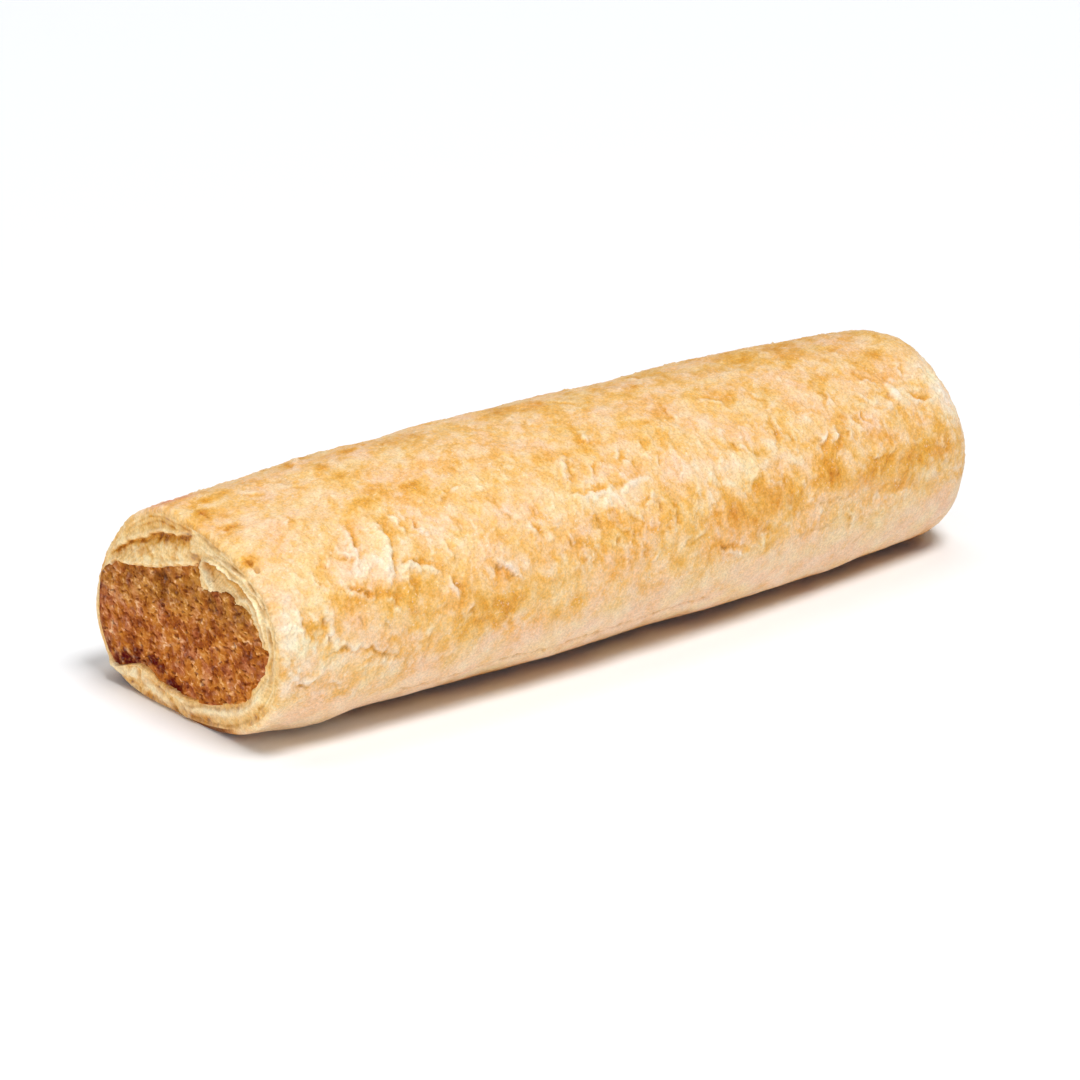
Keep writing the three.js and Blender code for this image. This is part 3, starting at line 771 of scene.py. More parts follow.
# Brown spots: y, z, half size, strength.
FACE_SPOTS = [
    (-4.7, 1.5, 0.6, 0.8), (-9.1, 4.9, 0.6, 0.6), (-13.0, 6.2, 0.7, 0.6), (-17.6, 6.2, 0.5, 0.6),
    (-19.9, 7.2, 0.6, 0.6), (-0.4, 1.5, 0.5, 0.6), (16.4, 25.2, 0.7, 0.8), (13.0, 27.0, 0.6, 0.6),
    (19.3, 23.2, 0.6, 0.8), (-0.2, 31.9, 1.0, 0.7), (0.5, 30.7, 0.8, 0.55), (-20.6, 17.6, 0.4, 0.9),
    (-20.0, 19.8, 0.35, 0.6), (24.4, 19.0, 0.8, 0.5), (-2.0, 28.5, 0.7, 0.9), (-2.7, 27.7, 0.6, 0.9),
]
FLAP_EDGE = FACE_RIDGES[0][2]
FAN_CENTRE = (4.0, 44.0)  # the strands of the puffed fold spread from here


class CutFace:
    """The layered cut end: relief towards the viewer in mm, and its look.  Each part adds its share."""

    def __init__(self, y, z, depth, s, to_meat):
        """depth is how far each place is below the skin, and to_meat how far from the meat's edge, in mm."""
        self.y, self.z, self.depth, self.s, self.to_meat = y, z, depth, s, to_meat
        self.bent_y = y + 0.35 * self.noise(2.2, 201)
        self.bent_z = z + 0.35 * self.noise(2.2, 206)
        self.low = ease((11 - z) / 4)
        self.relief, self.shade = np.zeros_like(y), np.zeros_like(y)
        self.bake, self.pale, self.rosy = np.full_like(y, 0.36), np.full_like(y, 0.08), np.full_like(y, 0.5)

    def noise(self, size, seed, octaves=2):
        return layered_noise(self.y / size, self.z / size, seed, octaves)

    def add_crumb(self):
        """Plain crumb, browner by the skin, the base and the meat, and paler at the front."""
        y, z = self.y, self.z
        self.relief += 0.07 * self.noise(0.9, 211) + 0.25 * self.noise(3.5, 216)
        self.bake += 0.34 * self.noise(2.2, 361, 3) + 0.30 * (1 - ease(self.depth))
        self.bake += self.low * (0.12 + 0.35 * clamp(self.noise(1.3, 371)))
        self.bake += 0.22 * hump(z - 0.6, 1.0) + 0.22 * hump(self.to_meat + 0.1, 0.35)
        self.pale += 0.15 * ease((7 - z) / 3) * ease((-2 - y) / 4) + 0.22 * ease(-y / 2) * ease((z - 20) / 3)

    def add_sheets(self):
        """Thin sheets that follow the skin: pale edges with narrow seams between them, darkened with painted
        shade.
        """
        s, depth = self.s, self.depth
        front = ease((0.50 - s) / 0.05) * ease((s - 0.12) / 0.08)
        amount = lerp(0.45, 1.0, front) * (1 - 0.9 * self.low)
        phase = (depth + 0.50 * layered_noise(s * 12, depth / 5, 230, 3)) / 0.80
        place = phase - np.floor(phase)
        present = clamp(0.30 + 1.4 * layered_noise(s * 20, np.floor(phase) * 0.77, 236, 2))
        present = amount * present * ease((depth - 0.6) / 0.8)
        sheet = present * hump(place - 0.55, 0.26)
        seam = present * (hump(place - 0.02, 0.13) + hump(place - 1.02, 0.13))
        self.relief += 0.16 * sheet - 0.15 * seam
        self.bake -= 0.10 * sheet
        self.pale += 0.35 * sheet
        self.shade += 0.35 * seam * clamp(0.3 + 1.5 * self.noise(1.5, 358))

    def add_crust_band(self):
        """The thick top crust, browner and with two fine lines along it."""
        crust = ease((self.z - 27.5) / 1.5) * ease((self.y + 1) / 2)
        upper = self.depth - 1.5 - 0.3 * smooth_noise(self.s * 30, self.s * 0 + 7, 238)
        lower = self.depth - 2.3 - 0.4 * smooth_noise(self.s * 24, self.s * 0 + 3, 239)
        self.bake += crust * (0.13 + 0.24 * (hump(upper, 0.16) + hump(lower, 0.20)))

    def add_gap(self):
        """The gap under the lip of the top crust, with painted shade that makes the crumb under the lip
        darker and more golden.  Gives how far each place is below the lip.
        """
        gap, along, signed = line_distance(self.bent_y, self.bent_z, CRUST_LIP)
        below = np.where(signed > 0, gap, -gap)
        span = ease((along - 0.02) / 0.16) * ease((1.03 - along) / 0.06)
        width = span * (0.18 + 0.62 * hump(along - 0.67, 0.22))
        opening = span * ease((below + 0.05) / 0.25)
        mouth = opening * (1 - ease((below - 0.5 * width) / (1.1 * width + 0.3)))
        under_lip = opening * hump(clamp(below, 0, 9), 0.5 + 1.1 * width)
        lip_edge = span * hump(below + 0.45, 0.40)
        self.relief += 0.25 * lip_edge - 0.50 * mouth * ease((1.06 - along) / 0.30)
        # Painted shade under the lip: browner, less pale and less rosy.
        self.bake += 0.38 * under_lip
        self.pale += 0.35 * lip_edge - 0.7 * under_lip
        self.rosy -= 0.6 * under_lip
        return below

    def add_fold(self, below):
        """The puffed fold under the gap, drawn in strands that fan out."""
        zone = ease(self.y + 2.4) * ease((24.0 - self.y) / 3) * ease(below / 0.8)
        over_y, over_z = self.y - FAN_CENTRE[0], self.z - FAN_CENTRE[1]
        fan = np.arctan2(over_z, over_y) * 15 + 0.7 * self.noise(3, 318)
        strand = layered_noise(fan, np.hypot(over_z, over_y) / 3.0, 321, 3)
        soft = layered_noise(self.y / 1.9, self.z / 1.3, 324, 3)
        self.relief += zone * (0.60 * ease((below - 0.6) / 2.5) + 0.11 * strand + 0.20 * soft)
        self.bake += zone * (0.26 * clamp(-strand) + 0.36 * clamp(-soft))
        self.bake += zone * (0.10 - 0.16 * ease((below - 1.6) / 2.0))
        self.pale += zone * (0.08 + 0.45 * clamp(1.2 * strand + 1.6 * soft))

    def add_hollow(self):
        """The smooth hollow beside the fold, under the edge of the flap above it, with painted shade: darker
        just under the flap, lighter towards the meat.
        """
        flap, along, signed = line_distance(self.bent_y, self.bent_z, FLAP_EDGE)
        under = np.where(signed > 0, flap, -flap)
        inside = clamp(under, 0, 9)
        pocket = ease((along - 0.005) / 0.06) * ease((0.70 - along) / 0.20) * ease((under + 0.10) / 0.35)
        hollow = pocket * hump(inside, 3.0)
        self.relief *= 1 - 0.95 * clamp(hollow * 1.8)
        self.relief -= 1.2 * pocket * hump(inside, 2.8) * ease(self.to_meat)
        # Painted shade cast by the flap: just under its edge the crumb is browner, less pale and shaded, and
        # paler further down; the noise mottling is the crumb's own.
        self.bake += 0.42 * pocket * hump(clamp(under - 0.1, 0, 9), 2.3) - 0.06 * hollow
        self.pale += 0.28 * self.noise(1.6, 381) * (1 - hollow)
        self.pale += 0.45 * hollow * ease((under - 2.2) / 1.4) - 0.6 * pocket * hump(inside, 2.0)
        self.shade += 0.42 * pocket * hump(inside, 1.9)

    def along_line(self, line, width, blunt):
        """1 on the line, fading to 0 across it and towards its ends."""
        distance, along, _ = line_distance(self.bent_y, self.bent_z, line)
        return clamp(5 * along * (1 - along) + blunt) ** 0.5 * hump(distance, width)

    def add_sheet_edges(self):
        """Pale edges of single sheets that stand proud, and the valleys between sheets, which are painted
        darker and browner: painted shade.
        """
        uneven_edge = clamp(0.85 + 0.7 * self.noise(2.4, 333))
        edges = np.zeros_like(self.y)
        for rise, width, line in FACE_RIDGES:
            edge = self.along_line(line, 1.3 * width, 0.15) * uneven_edge
            self.relief += 0.8 * rise * edge
            edges = np.maximum(edges, edge)
        uneven_valley = clamp(0.75 + 1.1 * self.noise(2.0, 331))
        valleys = np.zeros_like(self.y)
        for drop, width, line in FACE_GAPS:
            valley = self.along_line(line, 1.25 * width, 0.25) * uneven_valley
            self.relief -= 0.26 * drop * valley
            valleys = np.maximum(valleys, min(1.0, drop + 0.15) * valley)
        self.bake += 0.30 * valleys
        self.pale += 0.80 * edges
        self.rosy -= 0.4 * valleys
        self.shade += valleys

    def add_rim(self):
        """The lip that the skin makes round the face, and the film of fat where pastry meets meat."""
        lip = hump(self.depth - 0.75 - 0.2 * layered_noise(self.s * 40, self.depth * 0, 341, 2), 0.35)
        self.relief += 0.20 * lip * clamp(0.6 + layered_noise(self.s * 25, self.depth * 0 + 3, 351, 2))
        film = hump(self.to_meat - 0.55, 0.30) * ease((self.y + 2) / 2)
        self.relief += 0.20 * film
        self.pale += 0.25 * film

    def add_spots(self):
        """Small browned spots."""
        spots = np.zeros_like(self.y)
        ragged = 1 + 0.7 * self.noise(1.0, 356)
        for at_y, at_z, half, strength in FACE_SPOTS:
            spot = strength * hump(np.hypot(self.y - at_y, self.z - at_z) * ragged, half)
            spots = np.maximum(spots, spot)
        self.relief -= 0.20 * spots
        self.bake += 0.55 * spots
        self.rosy -= 0.4 * spots

    def fields(self):
        return {
            "bake": clamp(self.bake, -0.2, 0.92),
            "pale": clamp(self.pale),
            "shade": clamp(self.shade),
            "rosy": clamp(self.rosy),
        }


def cut_face_look(y, z, depth, s, to_meat):
    """Relief of the cut end and its look, from where each place is (see CutFace)."""
    face = CutFace(y, z, depth, s, to_meat)
    face.add_crumb()
    face.add_sheets()
    face.add_crust_band()
    face.add_fold(face.add_gap())
    face.add_hollow()
    face.add_sheet_edges()
    face.add_rim()
    face.add_spots()
    return face.relief, face.fields()


def cut_end_stations():
    """Stations from the cut's rounded edge back to where the long skin begins, as (x, inset)."""
    edge = -HALF_LENGTH
    found = []
    for angle in np.linspace(math.pi / 2, 0, CUT_RIM_ROWS + 1)[:-1]:
        x = edge + CUT_EDGE_ROUND * (1 - math.sin(angle))
        found.append((x, CUT_EDGE_ROUND * (1 - math.cos(angle))))
    for x in np.linspace(edge + CUT_EDGE_ROUND, edge + CUT_SKIN_LENGTH, CUT_SKIN_ROWS):
        found.append((x, 0.0))
    return found


def cut_face_grid(lip, outline, meat_reach):
    """Rows of points from the cut's lip inwards to behind the meat's edge, their look and their depth."""
    angle = np.arctan2(lip[:, 2] - FACE_CENTRE[1], lip[:, 1] - FACE_CENTRE[0])
    reach = np.hypot(lip[:, 2] - FACE_CENTRE[1], lip[:, 1] - FACE_CENTRE[0])
    edge_reach = meat_reach(angle)
    tangent = np.roll(outline, -6, 0) - np.roll(outline, 6, 0)
    tangent = tangent / np.linalg.norm(tangent, axis=1, keepdims=True)
    slope = np.abs(tangent[:, 1] * np.sin(angle) - tangent[:, 2] * np.cos(angle))
    t = np.linspace(0, 1, CUT_FACE_ROWS)[1:, None]
    r = lerp(reach, edge_reach - 1.0, t)
    y = FACE_CENTRE[0] + r * np.cos(angle)
    z = FACE_CENTRE[1] + r * np.sin(angle)
    depth = np.maximum(polar_reach(outline[:, 1], outline[:, 2], angle) - r, 0) * slope + CUT_EDGE_ROUND
    s = np.repeat((np.arange(CUT_AROUND) / CUT_AROUND)[None, :], len(t), 0)
    to_meat = r - edge_reach
    relief, look = cut_face_look(y, z, depth, s, to_meat)
    ragged = to_meat + 0.22 * layered_noise(y / 1.6, z / 1.6, 391, 2)
    behind = ease(-0.20 - ragged / 0.45)
    x = lip[None, :, 0] - relief * ease((reach - r) / 0.5) + 2.2 * behind
    return np.stack([x, y, np.maximum(z, FLOOR_GAP)], -1), look, depth


def make_cut_end(skin_ring, meat_reach, material):
    """The cut end of the pastry: its last stretch of skin, the rim and the layered face."""
    stations = cut_end_stations()
    bare = bare_skin(stations, CUT_AROUND)
    raised, look = raise_skin(bare, stations)
    raised = raised[::-1]
    # The first ring lies on the skin's last one, which has half as many points.
    raised[0, 0::2] = skin_ring
    raised[0, 1::2] = (skin_ring + np.roll(skin_ring, -1, 0)) / 2
    face, face_look, depth = cut_face_grid(raised[-1], bare[0], meat_reach)
    grid = np.concatenate([raised, face])
    cut = np.zeros(grid.shape[:2])
    cut[len(raised) - 6 : len(raised)] = np.linspace(0, 0.7, 6)[:, None]
    cut[len(raised) :] = lerp(0.7, 1.0, ease((depth - CUT_EDGE_ROUND) / 0.6))
    fields = {"cut": cut}
    for field, values in face_look.items():
        fields[field] = np.concatenate([look[field][::-1], values])
    faces = [quad[::-1] for quad in strip_faces(len(grid), CUT_AROUND)]
    normals = -surface_normals(grid).reshape(-1, 3)
    return new_mesh_object("pastry_cut_end", grid.reshape(-1, 3), faces, fields, material, normals)


# ---------- the meat

# Places where the meat's edge caramelised: y, z, half sizes, strength.
SEARED = [
    (17.6, 5.2, 2.7, 1.3, 1.0), (20.3, 4.2, 1.5, 1.0, 0.9), (15.0, 6.1, 1.4, 1.0, 0.9),
    (9.9, 7.1, 1.7, 1.0, 1.0), (8.2, 6.3, 1.5, 0.9, 0.9), (5.0, 4.7, 1.9, 0.8, 1.0),
    (3.3, 4.4, 1.2, 0.6, 0.9), (12.4, 6.0, 1.6, 0.6, 0.5), (25.1, 15.1, 0.6, 0.8, 0.9),
    (24.6, 8.2, 0.9, 2.6, 0.50), (22.9, 5.6, 1.2, 1.5, 0.7), (25.4, 11.0, 0.6, 2.4, 0.50),
    (-18.4, 14.6, 0.7, 2.6, 0.25), (-8.0, 5.8, 2.5, 0.5, 0.15),
]


def square_to_disc(count_a, count_b):
    """A grid on a square carried onto a disc: distance from the centre, and turn as a fraction."""
    a, b = np.meshgrid(np.linspace(-1, 1, count_a), np.linspace(-1, 1, count_b))
    wide = np.abs(a) > np.abs(b)
    safe_a, safe_b = np.where(a == 0, 1e-9, a), np.where(b == 0, 1e-9, b)
    turn = np.where(wide, b / safe_a / 8, 0.25 - a / safe_b / 8)
    turn = turn + np.where(np.where(wide, a, b) < 0, 0.5, 0.0)
    return np.where(wide, np.abs(a), np.abs(b)), turn % 1.0


def seared_look(y, z):
    """Where the cut meat is caramelised, and where it is drab."""
    ragged = 1 + 0.9 * layered_noise(y / 1.6, z / 1.6, 401, 3)
    sear = np.zeros_like(y)
    for at_y, at_z, half_y, half_z, strength in SEARED:
        reach = np.hypot((y - at_y) / half_y, (z - at_z) / half_z) * ragged
        sear = np.maximum(sear, strength * (1 - ease((reach - 0.55) / 0.75)))
    sear = sear * clamp(1.0 + layered_noise(y / 0.8, z / 0.55, 411, 2))
    olive = ease((z - 15 + 0.12 * y) / 6) * clamp(0.8 + layered_noise(y / 3, z / 3, 406, 2))
    return sear, olive


def meat_look(y, z, seed, seared):
    """Relief in mm of a cut through ground meat, and its look."""
    wy = y + 0.55 * layered_noise(y / 1.4, z / 1.4, seed, 3)
    wz = z + 0.55 * layered_noise(y / 1.4, z / 1.4, seed + 5, 3)
    near, own = scattered_cells(wy / 2.5, wz / 1.6 + 9, seed + 10)
    small_near, small_own = scattered_cells(wy / 1.35, wz / 0.85 + 9, seed + 11)
    grain = clamp(1 - near * near * 1.2)
    small = clamp(1 - small_near * small_near * 1.5)
    lumps = layered_noise(y / 1.9, z / 1.2, seed + 15, 3, fade=0.55)
    relief = 0.10 * grain * own + 0.16 * lumps + 0.10 * small * small_own
    relief += 0.30 * layered_noise(y / 6, z / 6, seed + 20, 2)
    # Pits are cut into the relief and also painted darker in the material: partly the meat's own darker
    # colour, partly painted shade in them.
    pit = ease((-layered_noise(wy / 1.3, wz / 0.8, seed + 35, 2) - 0.26) / 0.20)
    relief -= 0.22 * pit
    fat = ease((layered_noise(wy / 1.5, wz / 0.95, seed + 45, 3, fade=0.6) - 0.12) / 0.25)
    tone = 0.45 + 0.26 * (small_own - 0.5) * small + 0.16 * (own - 0.5) * grain + 0.34 * lumps
    tone += 0.38 * layered_noise(y / 4.6, z / 3.4, seed + 40, 3) + 0.30 * fat
    pink = 0.30 + 1.2 * layered_noise(y / 3.2, z / 3.2, seed + 50, 3) + 0.45 * fat
    sear, olive = np.zeros_like(y), np.zeros_like(y)
    if seared:
        sear, olive = seared_look(y, z)
        pink += 0.5 * ease((y - 18) / 6)
    return relief, {"tone": clamp(tone), "pink": clamp(pink), "pit": clamp(pit), "sear": sear, "olive": olive}


def plug_rings(rim, x_face, outward, centre):
    """Rings of points behind the rim of a plug, each drawn in further towards the centre (y, z)."""
    away = rim[:, 1:] - np.array(centre)
    away = away / np.linalg.norm(away, axis=1, keepdims=True)
    rings = []
    for inwards, drawn_in in MEAT_RINGS:
        ring = rim.copy()
        ring[:, 0] = x_face - outward * inwards
        ring[:, 1:] -= away * drawn_in
        rings.append(ring)
    return rings


def plug_faces(count_a, count_b):
    """The rim of a plug's grid, and the faces of the grid, of the rings behind it and of its end."""
    index = np.arange(count_a * count_b).reshape(count_b, count_a)
    rim = np.concatenate([index[0], index[1:, -1], index[-1, -2::-1], index[-2:0:-1, 0]])
    corner = index[:-1, :-1].ravel()
    faces = np.stack([corner, corner + 1, corner + count_a + 1, corner + count_a], 1).tolist()
    near = rim
    for ring in range(len(MEAT_RINGS)):
        far = count_a * count_b + ring * len(rim) + np.arange(len(rim))
        faces += np.stack([far, np.roll(far, -1), np.roll(near, -1), near], 1).tolist()
        near = far
    faces.append(near.tolist())
    return rim, faces


def make_meat(name, line, x_face, outward, counts, seed, seared, material):
    """A plug of ground meat inside a closed line: its cut face at x_face, facing outward (1 or -1)."""
    radius, turn = square_to_disc(*counts)
    edge_y, edge_z = even_points(*line, MEAT_EDGE_STEPS)
    centre = FACE_CENTRE if seared else (edge_y.mean(), edge_z.mean())
    index = (turn * MEAT_EDGE_STEPS).astype(int) % MEAT_EDGE_STEPS
    out_y, out_z = edge_y[index] - centre[0], edge_z[index] - centre[1]
    reach = radius * (1 + MEAT_OVERLAP / np.hypot(out_y, out_z))
    y = centre[0] + reach * out_y
    z = centre[1] + reach * out_z
    relief, fields = meat_look(y, z, seed, seared)
    relief = relief * (1 - 0.3 * ease(1 - (1 - radius) * 14)) - 0.35 * ease(1 - (1 - radius) * 45)
    face = np.stack([x_face + outward * relief, y, z], -1).reshape(-1, 3)
    rim, faces = plug_faces(*counts)
    if outward < 0:
        faces = [corners[::-1] for corners in faces]
    rings = plug_rings(face[rim], x_face, outward, centre)
    for field, values in fields.items():
        behind = np.full(len(rings) * len(rim), 0.5 if field == "tone" else 0.0)
        fields[field] = np.concatenate([values.ravel(), behind])
    return new_mesh_object(name, np.vstack([face, *rings]), faces, fields, material)


# ---------- materials


RANGE_SOCKETS = ("From Min", "From Max", "To Min", "To Max")
# The cut meat's colours from dark to light, in sRGB: browned, rosy and drab.
MEAT_COLOURS = [
    [(92, 35, 7), (148, 72, 20), (186, 107, 35), (212, 138, 60), (244, 188, 120)],
    [(104, 41, 19), (158, 80, 46), (197, 119, 77), (223, 158, 114), (250, 208, 168)],
    [(85, 49, 10), (133, 81, 22), (173, 114, 40), (201, 143, 65), (237, 185, 112)],
]


def linear(red, green, blue):
    """An sRGB colour, 0 to 255, as the linear colour that shaders take."""
    channels = []
    for value in (red, green, blue):
        v = value / 255
        channels.append(v / 12.92 if v <= 0.04045 else ((v + 0.055) / 1.055) ** 2.4)
    return (*channels, 1.0)


class Graph:
    """Short ways to add and join shader nodes."""

    def __init__(self, name):
        self.material = bpy.data.materials.new(name)
        self.material.use_nodes = True
        self.nodes = self.material.node_tree.nodes
        self.links = self.material.node_tree.links
        self.inputs = self.nodes["Principled BSDF"].inputs

    def join(self, source, target):
        """Links a socket to the target, or sets the target to a value."""
        if isinstance(source, bpy.types.NodeSocket):
            self.links.new(source, target)
        else:
            target.default_value = source

    def field(self, name):
        node = self.nodes.new("ShaderNodeAttribute")
        node.attribute_name = name
        return node.outputs["Fac"]

    def texture(self, kind, size_mm):
        """A texture node over the object, with features of about size_mm."""
        node = self.nodes.new(kind)
        self.join(self.nodes.new("ShaderNodeTexCoord").outputs["Object"], node.inputs["Vector"])
        node.inputs["Scale"].default_value = 1 / (size_mm * MM)
        return node

    def noise(self, size_mm, detail=3, rough=0.55):
        node = self.texture("ShaderNodeTexNoise", size_mm)
        node.inputs["Detail"].default_value = detail
        node.inputs["Roughness"].default_value = rough
        return node.outputs["Fac"]

    def pebbles(self, size_mm):
        node = self.texture("ShaderNodeTexVoronoi", size_mm)
        node.feature = "SMOOTH_F1"
        return node.outputs["Distance"]

    def math(self, operation, a, b):
        node = self.nodes.new("ShaderNodeMath")
        node.operation = operation
        self.join(a, node.inputs[0])
        self.join(b, node.inputs[1])
        return node.outputs[0]

    def times(self, a, b):
        return self.math("MULTIPLY", a, b)

    def span(self, value, low, high, out_low=0.0, out_high=1.0):
        """The value mapped from low..high to out_low..out_high, and held at its ends."""
        node = self.nodes.new("ShaderNodeMapRange")
        self.join(value, node.inputs["Value"])
        for socket, number in zip(RANGE_SOCKETS, (low, high, out_low, out_high)):
            node.inputs[socket].default_value = number
        return node.outputs["Result"]

    def ramp(self, value, stops):
        """Colours by value.  Each stop is a place and a linear colour."""
        node = self.nodes.new("ShaderNodeValToRGB")
        self.join(value, node.inputs["Fac"])
        elements = node.color_ramp.elements
        while len(elements) < len(stops):
            elements.new(0.5)
        for element, (position, colour) in zip(elements, stops):
            element.position = position
            element.color = colour
        return node.outputs["Color"]

    def srgb_ramp(self, value, *stops):
        """Colours by value.  Each stop is a place and an sRGB colour from 0 to 255."""
        return self.ramp(value, [(position, linear(*colour)) for position, *colour in stops])

    def mix(self, amount, a, b, mode="MIX"):
        """Colour a with an amount of colour b mixed in."""
        node = self.nodes.new("ShaderNodeMix")
        node.data_type = "RGBA"
        node.blend_type = mode
        self.join(amount, node.inputs["Factor"])
        colour_a, colour_b = [socket for socket in node.inputs if socket.type == "RGBA"]
        self.join(a, colour_a)
        self.join(b, colour_b)
        return next(socket for socket in node.outputs if socket.type == "RGBA")

    def bump(self, height, distance_mm, strength=1.0, below=None):
        node = self.nodes.new("ShaderNodeBump")
        node.inputs["Strength"].default_value = strength
        node.inputs["Distance"].default_value = distance_mm * MM
        self.join(height, node.inputs["Height"])
        if below is not None:
            self.join(below, node.inputs["Normal"])
        return node.outputs["Normal"]

    def finish(self, colour, roughness, specular, coat, coat_roughness, normal):
        """Joins everything to the shader."""
        self.join(colour, self.inputs["Base Color"])
        self.join(roughness, self.inputs["Roughness"])
        self.join(coat, self.inputs["Coat Weight"])
        self.join(normal, self.inputs["Normal"])
        self.join(normal, self.inputs["Coat Normal"])
        self.inputs["Specular IOR Level"].default_value = specular
        self.inputs["Coat Roughness"].default_value = coat_roughness
        return self.material


def skin_colour(g, browned_and_shaded, pale, rosy):
    """The crust: from cream to deep brown as it is baked, and browner where shade is painted into creases,
    with pale flakes and a rosy tint in places.
    """
    skin = g.srgb_ramp(
        g.span(browned_and_shaded, -0.10, 1.25),
        (0.07, 247, 221, 185), (0.26, 245, 209, 166), (0.41, 242, 198, 145), (0.53, 239, 186, 113),
        (0.65, 232, 171, 84), (0.75, 223, 154, 60), (0.84, 209, 135, 48), (0.92, 186, 111, 38),
        (1.00, 130, 77, 34),
    )
    golden = g.span(browned_and_shaded, 0.75, 1.0, 1.0, 0.3)
    flaky = g.times(g.times(pale, g.span(g.noise(0.8, 3, 0.6), 0.3, 0.7, 0.6, 1.2)), golden)
    skin = g.mix(flaky, skin, linear(247, 233, 211))
    tint = g.ramp(g.span(rosy, 0.0, 2.0), [
        (0.00, (0.985, 0.995, 0.85, 1.0)),
        (0.22, (1.0, 1.0, 0.97, 1.0)),
        (0.50, (1.0, 0.95, 1.0, 1.0)),
        (0.80, (0.90, 0.66, 0.68, 1.0)),
        (1.00, (0.78, 0.45, 0.47, 1.0)),
    ])
    return g.mix(1.0, skin, tint, "MULTIPLY")


def crumb_colour(g, browned_and_shaded, pale):
    """The inside of the pastry, where it is cut, browner where shade is painted into gaps and hollows."""
    crumb = g.srgb_ramp(
        browned_and_shaded,
        (0.00, 251, 227, 174), (0.25, 245, 207, 140), (0.50, 231, 179, 98), (0.72, 213, 148, 54),
        (0.88, 186, 116, 34), (1.00, 132, 74, 22),
    )
    return g.mix(g.times(pale, 0.85), crumb, linear(253, 235, 194))


def pastry_material():
    g = Graph("baked_pastry")
    bake, pale, shade, cut, rosy = (g.field(name) for name in ("bake", "pale", "shade", "cut", "rosy"))
    mottle = g.span(g.noise(1.1, 4, 0.6), 0.3, 0.7, -0.08, 0.08)
    speckle = g.span(g.noise(0.4, 2, 0.5), 0.35, 0.65, -0.04, 0.04)
    browned_and_shaded = g.math("ADD", g.math("ADD", bake, mottle), speckle)
    colour = g.mix(cut, skin_colour(g, browned_and_shaded, pale, rosy), crumb_colour(g, browned_and_shaded, pale))
    # Painted shade: the shade field darkens slits, fine lines, seams and gaps between sheets, and the hollow
    # under the flap.
    colour = g.mix(g.times(shade, 0.80), colour, linear(190, 136, 58))
    # Painted glints: scattered near-white specks on the skin that stand for tiny sparkles of light, none on
    # the cut face.
    painted_glints = g.times(g.span(g.noise(0.5, 2, 0.7), 0.61, 0.70), g.span(g.noise(4.0, 2), 0.48, 0.58, 0.25, 1.0))
    painted_glints = g.times(painted_glints, g.span(cut, 0.0, 0.6, 0.40, 0.0))
    colour = g.mix(painted_glints, colour, linear(253, 246, 230))
    grain = g.span(g.noise(0.38, 2, 0.6), 0.35, 0.65, 0.89, 1.11)
    colour = g.mix(1.0, colour, grain, "MULTIPLY")
    roughness = g.span(browned_and_shaded, 0.2, 0.9, 0.50, 0.36)
    greasy = g.span(g.noise(4.5, 3, 0.65), 0.50, 0.66, 0.02, 0.28)
    coat = g.times(greasy, g.span(cut, 0.0, 0.5, 1.0, 0.0))
    fine = g.bump(g.noise(0.40, 3, 0.6), 0.20, 1.0)
    normal = g.bump(g.pebbles(0.8), 0.16, 0.60, fine)
    return g.finish(colour, roughness, 0.15, coat, 0.24, normal)


def meat_material():
    g = Graph("ground_meat")
    tone, pink, pit, sear, olive = (g.field(name) for name in ("tone", "pink", "pit", "sear", "olive"))
    value = g.math("ADD", tone, g.span(g.noise(0.45, 3, 0.6), 0.3, 0.7, -0.10, 0.10))
    ramps = [[(k / 4, *colour) for k, colour in enumerate(colours)] for colours in MEAT_COLOURS]
    brown, rosy, drab = (g.srgb_ramp(value, *stops) for stops in ramps)
    colour = g.mix(g.span(pink, 0.35, 0.85, 0.0, 0.7), brown, rosy)
    colour = g.mix(g.times(olive, 0.7), colour, drab)
    # Darker pits: partly the meat's own colour, partly painted shade in the crevices.
    colour = g.mix(g.times(pit, 0.75), colour, linear(110, 44, 16))
    colour = g.mix(sear, colour, linear(90, 8, 5))
    roughness = g.span(g.noise(0.7, 2, 0.5), 0.35, 0.65, 0.40, 0.65)
    coat = g.span(g.noise(0.9, 2, 0.5), 0.56, 0.66, 0.0, 0.7)
    normal = g.bump(g.noise(0.32, 3, 0.65), 0.16, 0.9)
    return g.finish(colour, roughness, 0.03, coat, 0.15, normal)


def plain_material(name, colour, roughness):
    g = Graph(name)
    g.inputs["Base Color"].default_value = colour
    g.inputs["Roughness"].default_value = roughness
    return g.material


# ---------- the scene

# Soft lamps: azimuth and elevation in degrees, distance, width and height in metres, power in watts.
LAMPS = {
    "key": (5, 67, 4.0, 1.5, 1.5, 115.0),
    "sparkle": (30, 52, 2.0, 0.12, 0.12, 2.0),
    "back_right": (145, 73, 2.0, 1.2, 1.2, 10.0),
    "back_left": (-140, 58, 2.0, 1.2, 1.2, 5.5),
    "front": (5, 5, 1.4, 1.2, 0.2, 1.85),
    "left": (-80, 6, 1.4, 1.2, 0.25, 7.0),
}
# A narrow soft-edged spotlight on the cut end: azimuth, elevation, distance in metres, power in watts.
SPOT = (-72, 42, 1.0, 14.0)
SPOT_ANGLE = 5.0
SPOT_RADIUS = 0.08  # metres
SKY_COLOUR = (0.65, 0.83, 1.0, 1)
SKY_STRENGTH = 0.06
FLOOR_COLOUR = (0.96, 0.97, 0.985, 1)
FLOOR_HALF = 3.0  # metres


def direction(azimuth, elevation):
    """The unit vector from the object towards a viewer at that azimuth and elevation in degrees."""
    a, e = math.radians(azimuth), math.radians(elevation)
    return Vector((math.sin(a) * math.cos(e), -math.cos(a) * math.cos(e), math.sin(e)))


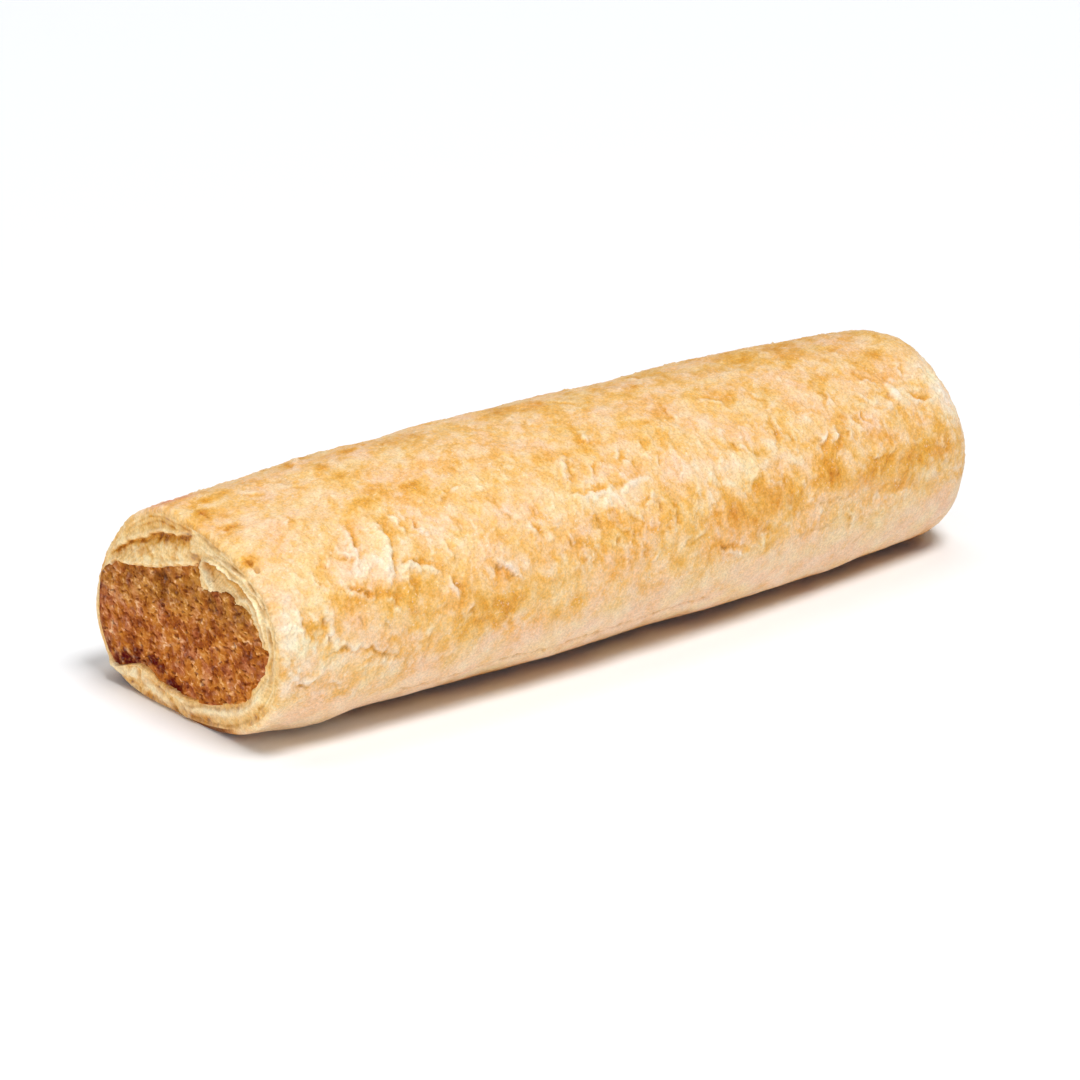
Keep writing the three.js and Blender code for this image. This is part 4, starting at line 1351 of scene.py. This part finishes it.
def place_facing(name, data, place, towards):
    """Adds a camera or lamp at a place in metres, with its back in the direction towards the viewer."""
    thing = bpy.data.objects.new(name, data)
    thing.location = place
    thing.rotation_mode = "QUATERNION"
    thing.rotation_quaternion = towards.to_track_quat("Z", "Y")
    bpy.context.scene.collection.objects.link(thing)
    return thing


def make_camera():
    data = bpy.data.cameras.new("camera")
    data.lens = CAMERA_LENS
    data.sensor_width = CAMERA_SENSOR
    data.clip_start, data.clip_end = 0.01, 50.0
    towards = direction(CAMERA_AZIMUTH, CAMERA_ELEVATION)
    camera = place_facing("camera", data, (Vector(CAMERA_AIM) + towards * CAMERA_DISTANCE) * MM, towards)
    bpy.context.scene.camera = camera


def make_lamps():
    for name, (azimuth, elevation, distance, width, height, power) in LAMPS.items():
        data = bpy.data.lights.new(name, "AREA")
        data.shape = "ELLIPSE"
        data.size, data.size_y = width, height
        data.energy = power
        towards = direction(azimuth, elevation)
        place_facing(name, data, towards * distance, towards)
    azimuth, elevation, distance, power = SPOT
    data = bpy.data.lights.new("cut_end", "SPOT")
    data.energy = power
    data.shadow_soft_size = SPOT_RADIUS
    data.spot_size = math.radians(SPOT_ANGLE)
    data.spot_blend = 1.0
    towards = direction(azimuth, elevation)
    aim = Vector((-HALF_LENGTH, *FACE_CENTRE)) * MM
    place_facing("cut_end", data, aim + towards * distance, towards)


def make_studio():
    world = bpy.data.worlds.new("studio")
    bpy.context.scene.world = world
    world.use_nodes = True
    background = world.node_tree.nodes["Background"]
    background.inputs["Color"].default_value = SKY_COLOUR
    background.inputs["Strength"].default_value = SKY_STRENGTH
    make_lamps()
    corners = np.array([(-1, -1, 0), (1, -1, 0), (1, 1, 0), (-1, 1, 0)]) * FLOOR_HALF / MM
    pale_floor = plain_material("pale_floor", FLOOR_COLOUR, 0.9)
    floor = new_mesh_object("floor", corners, [(0, 1, 2, 3)], {}, pale_floor)
    bpy.context.scene.view_settings.view_transform = "Standard"


def make_both_meats(meat_line, material):
    """The meat at the cut end and at the round end."""
    near_x = -HALF_LENGTH - CUT_MEAT_PROUD
    near = make_meat("meat_cut_face", meat_line, near_x, -1, CUT_MEAT_COUNTS, CUT_MEAT_SEED, True, material)
    far_y, far_z = skin_outline(HALF_LENGTH - FAR_MEAT_SECTION, FAR_MEAT_INSET, FAR_MEAT_STEPS)
    far_line = (np.append(far_y, far_y[0]), np.append(far_z, far_z[0]))
    far_x = HALF_LENGTH - FAR_MEAT_SUNK
    far = make_meat("meat_round_end", far_line, far_x, 1, FAR_MEAT_COUNTS, FAR_MEAT_SEED, False, material)
    return near, far


def main():
    make_camera()
    make_studio()
    pastry = pastry_material()
    meat = meat_material()

    skins, ring = make_skin(pastry)
    meat_line = smooth_loop(MEAT_EDGE, 24)
    cut_end = make_cut_end(ring, lambda angle: polar_reach(*meat_line, angle), pastry)

    for piece in [*skins, cut_end]:
        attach(piece, "root")
        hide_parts("pastry")
    for piece in make_both_meats(meat_line, meat):
        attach(piece, "root")
        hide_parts("sausage_filling")


main()
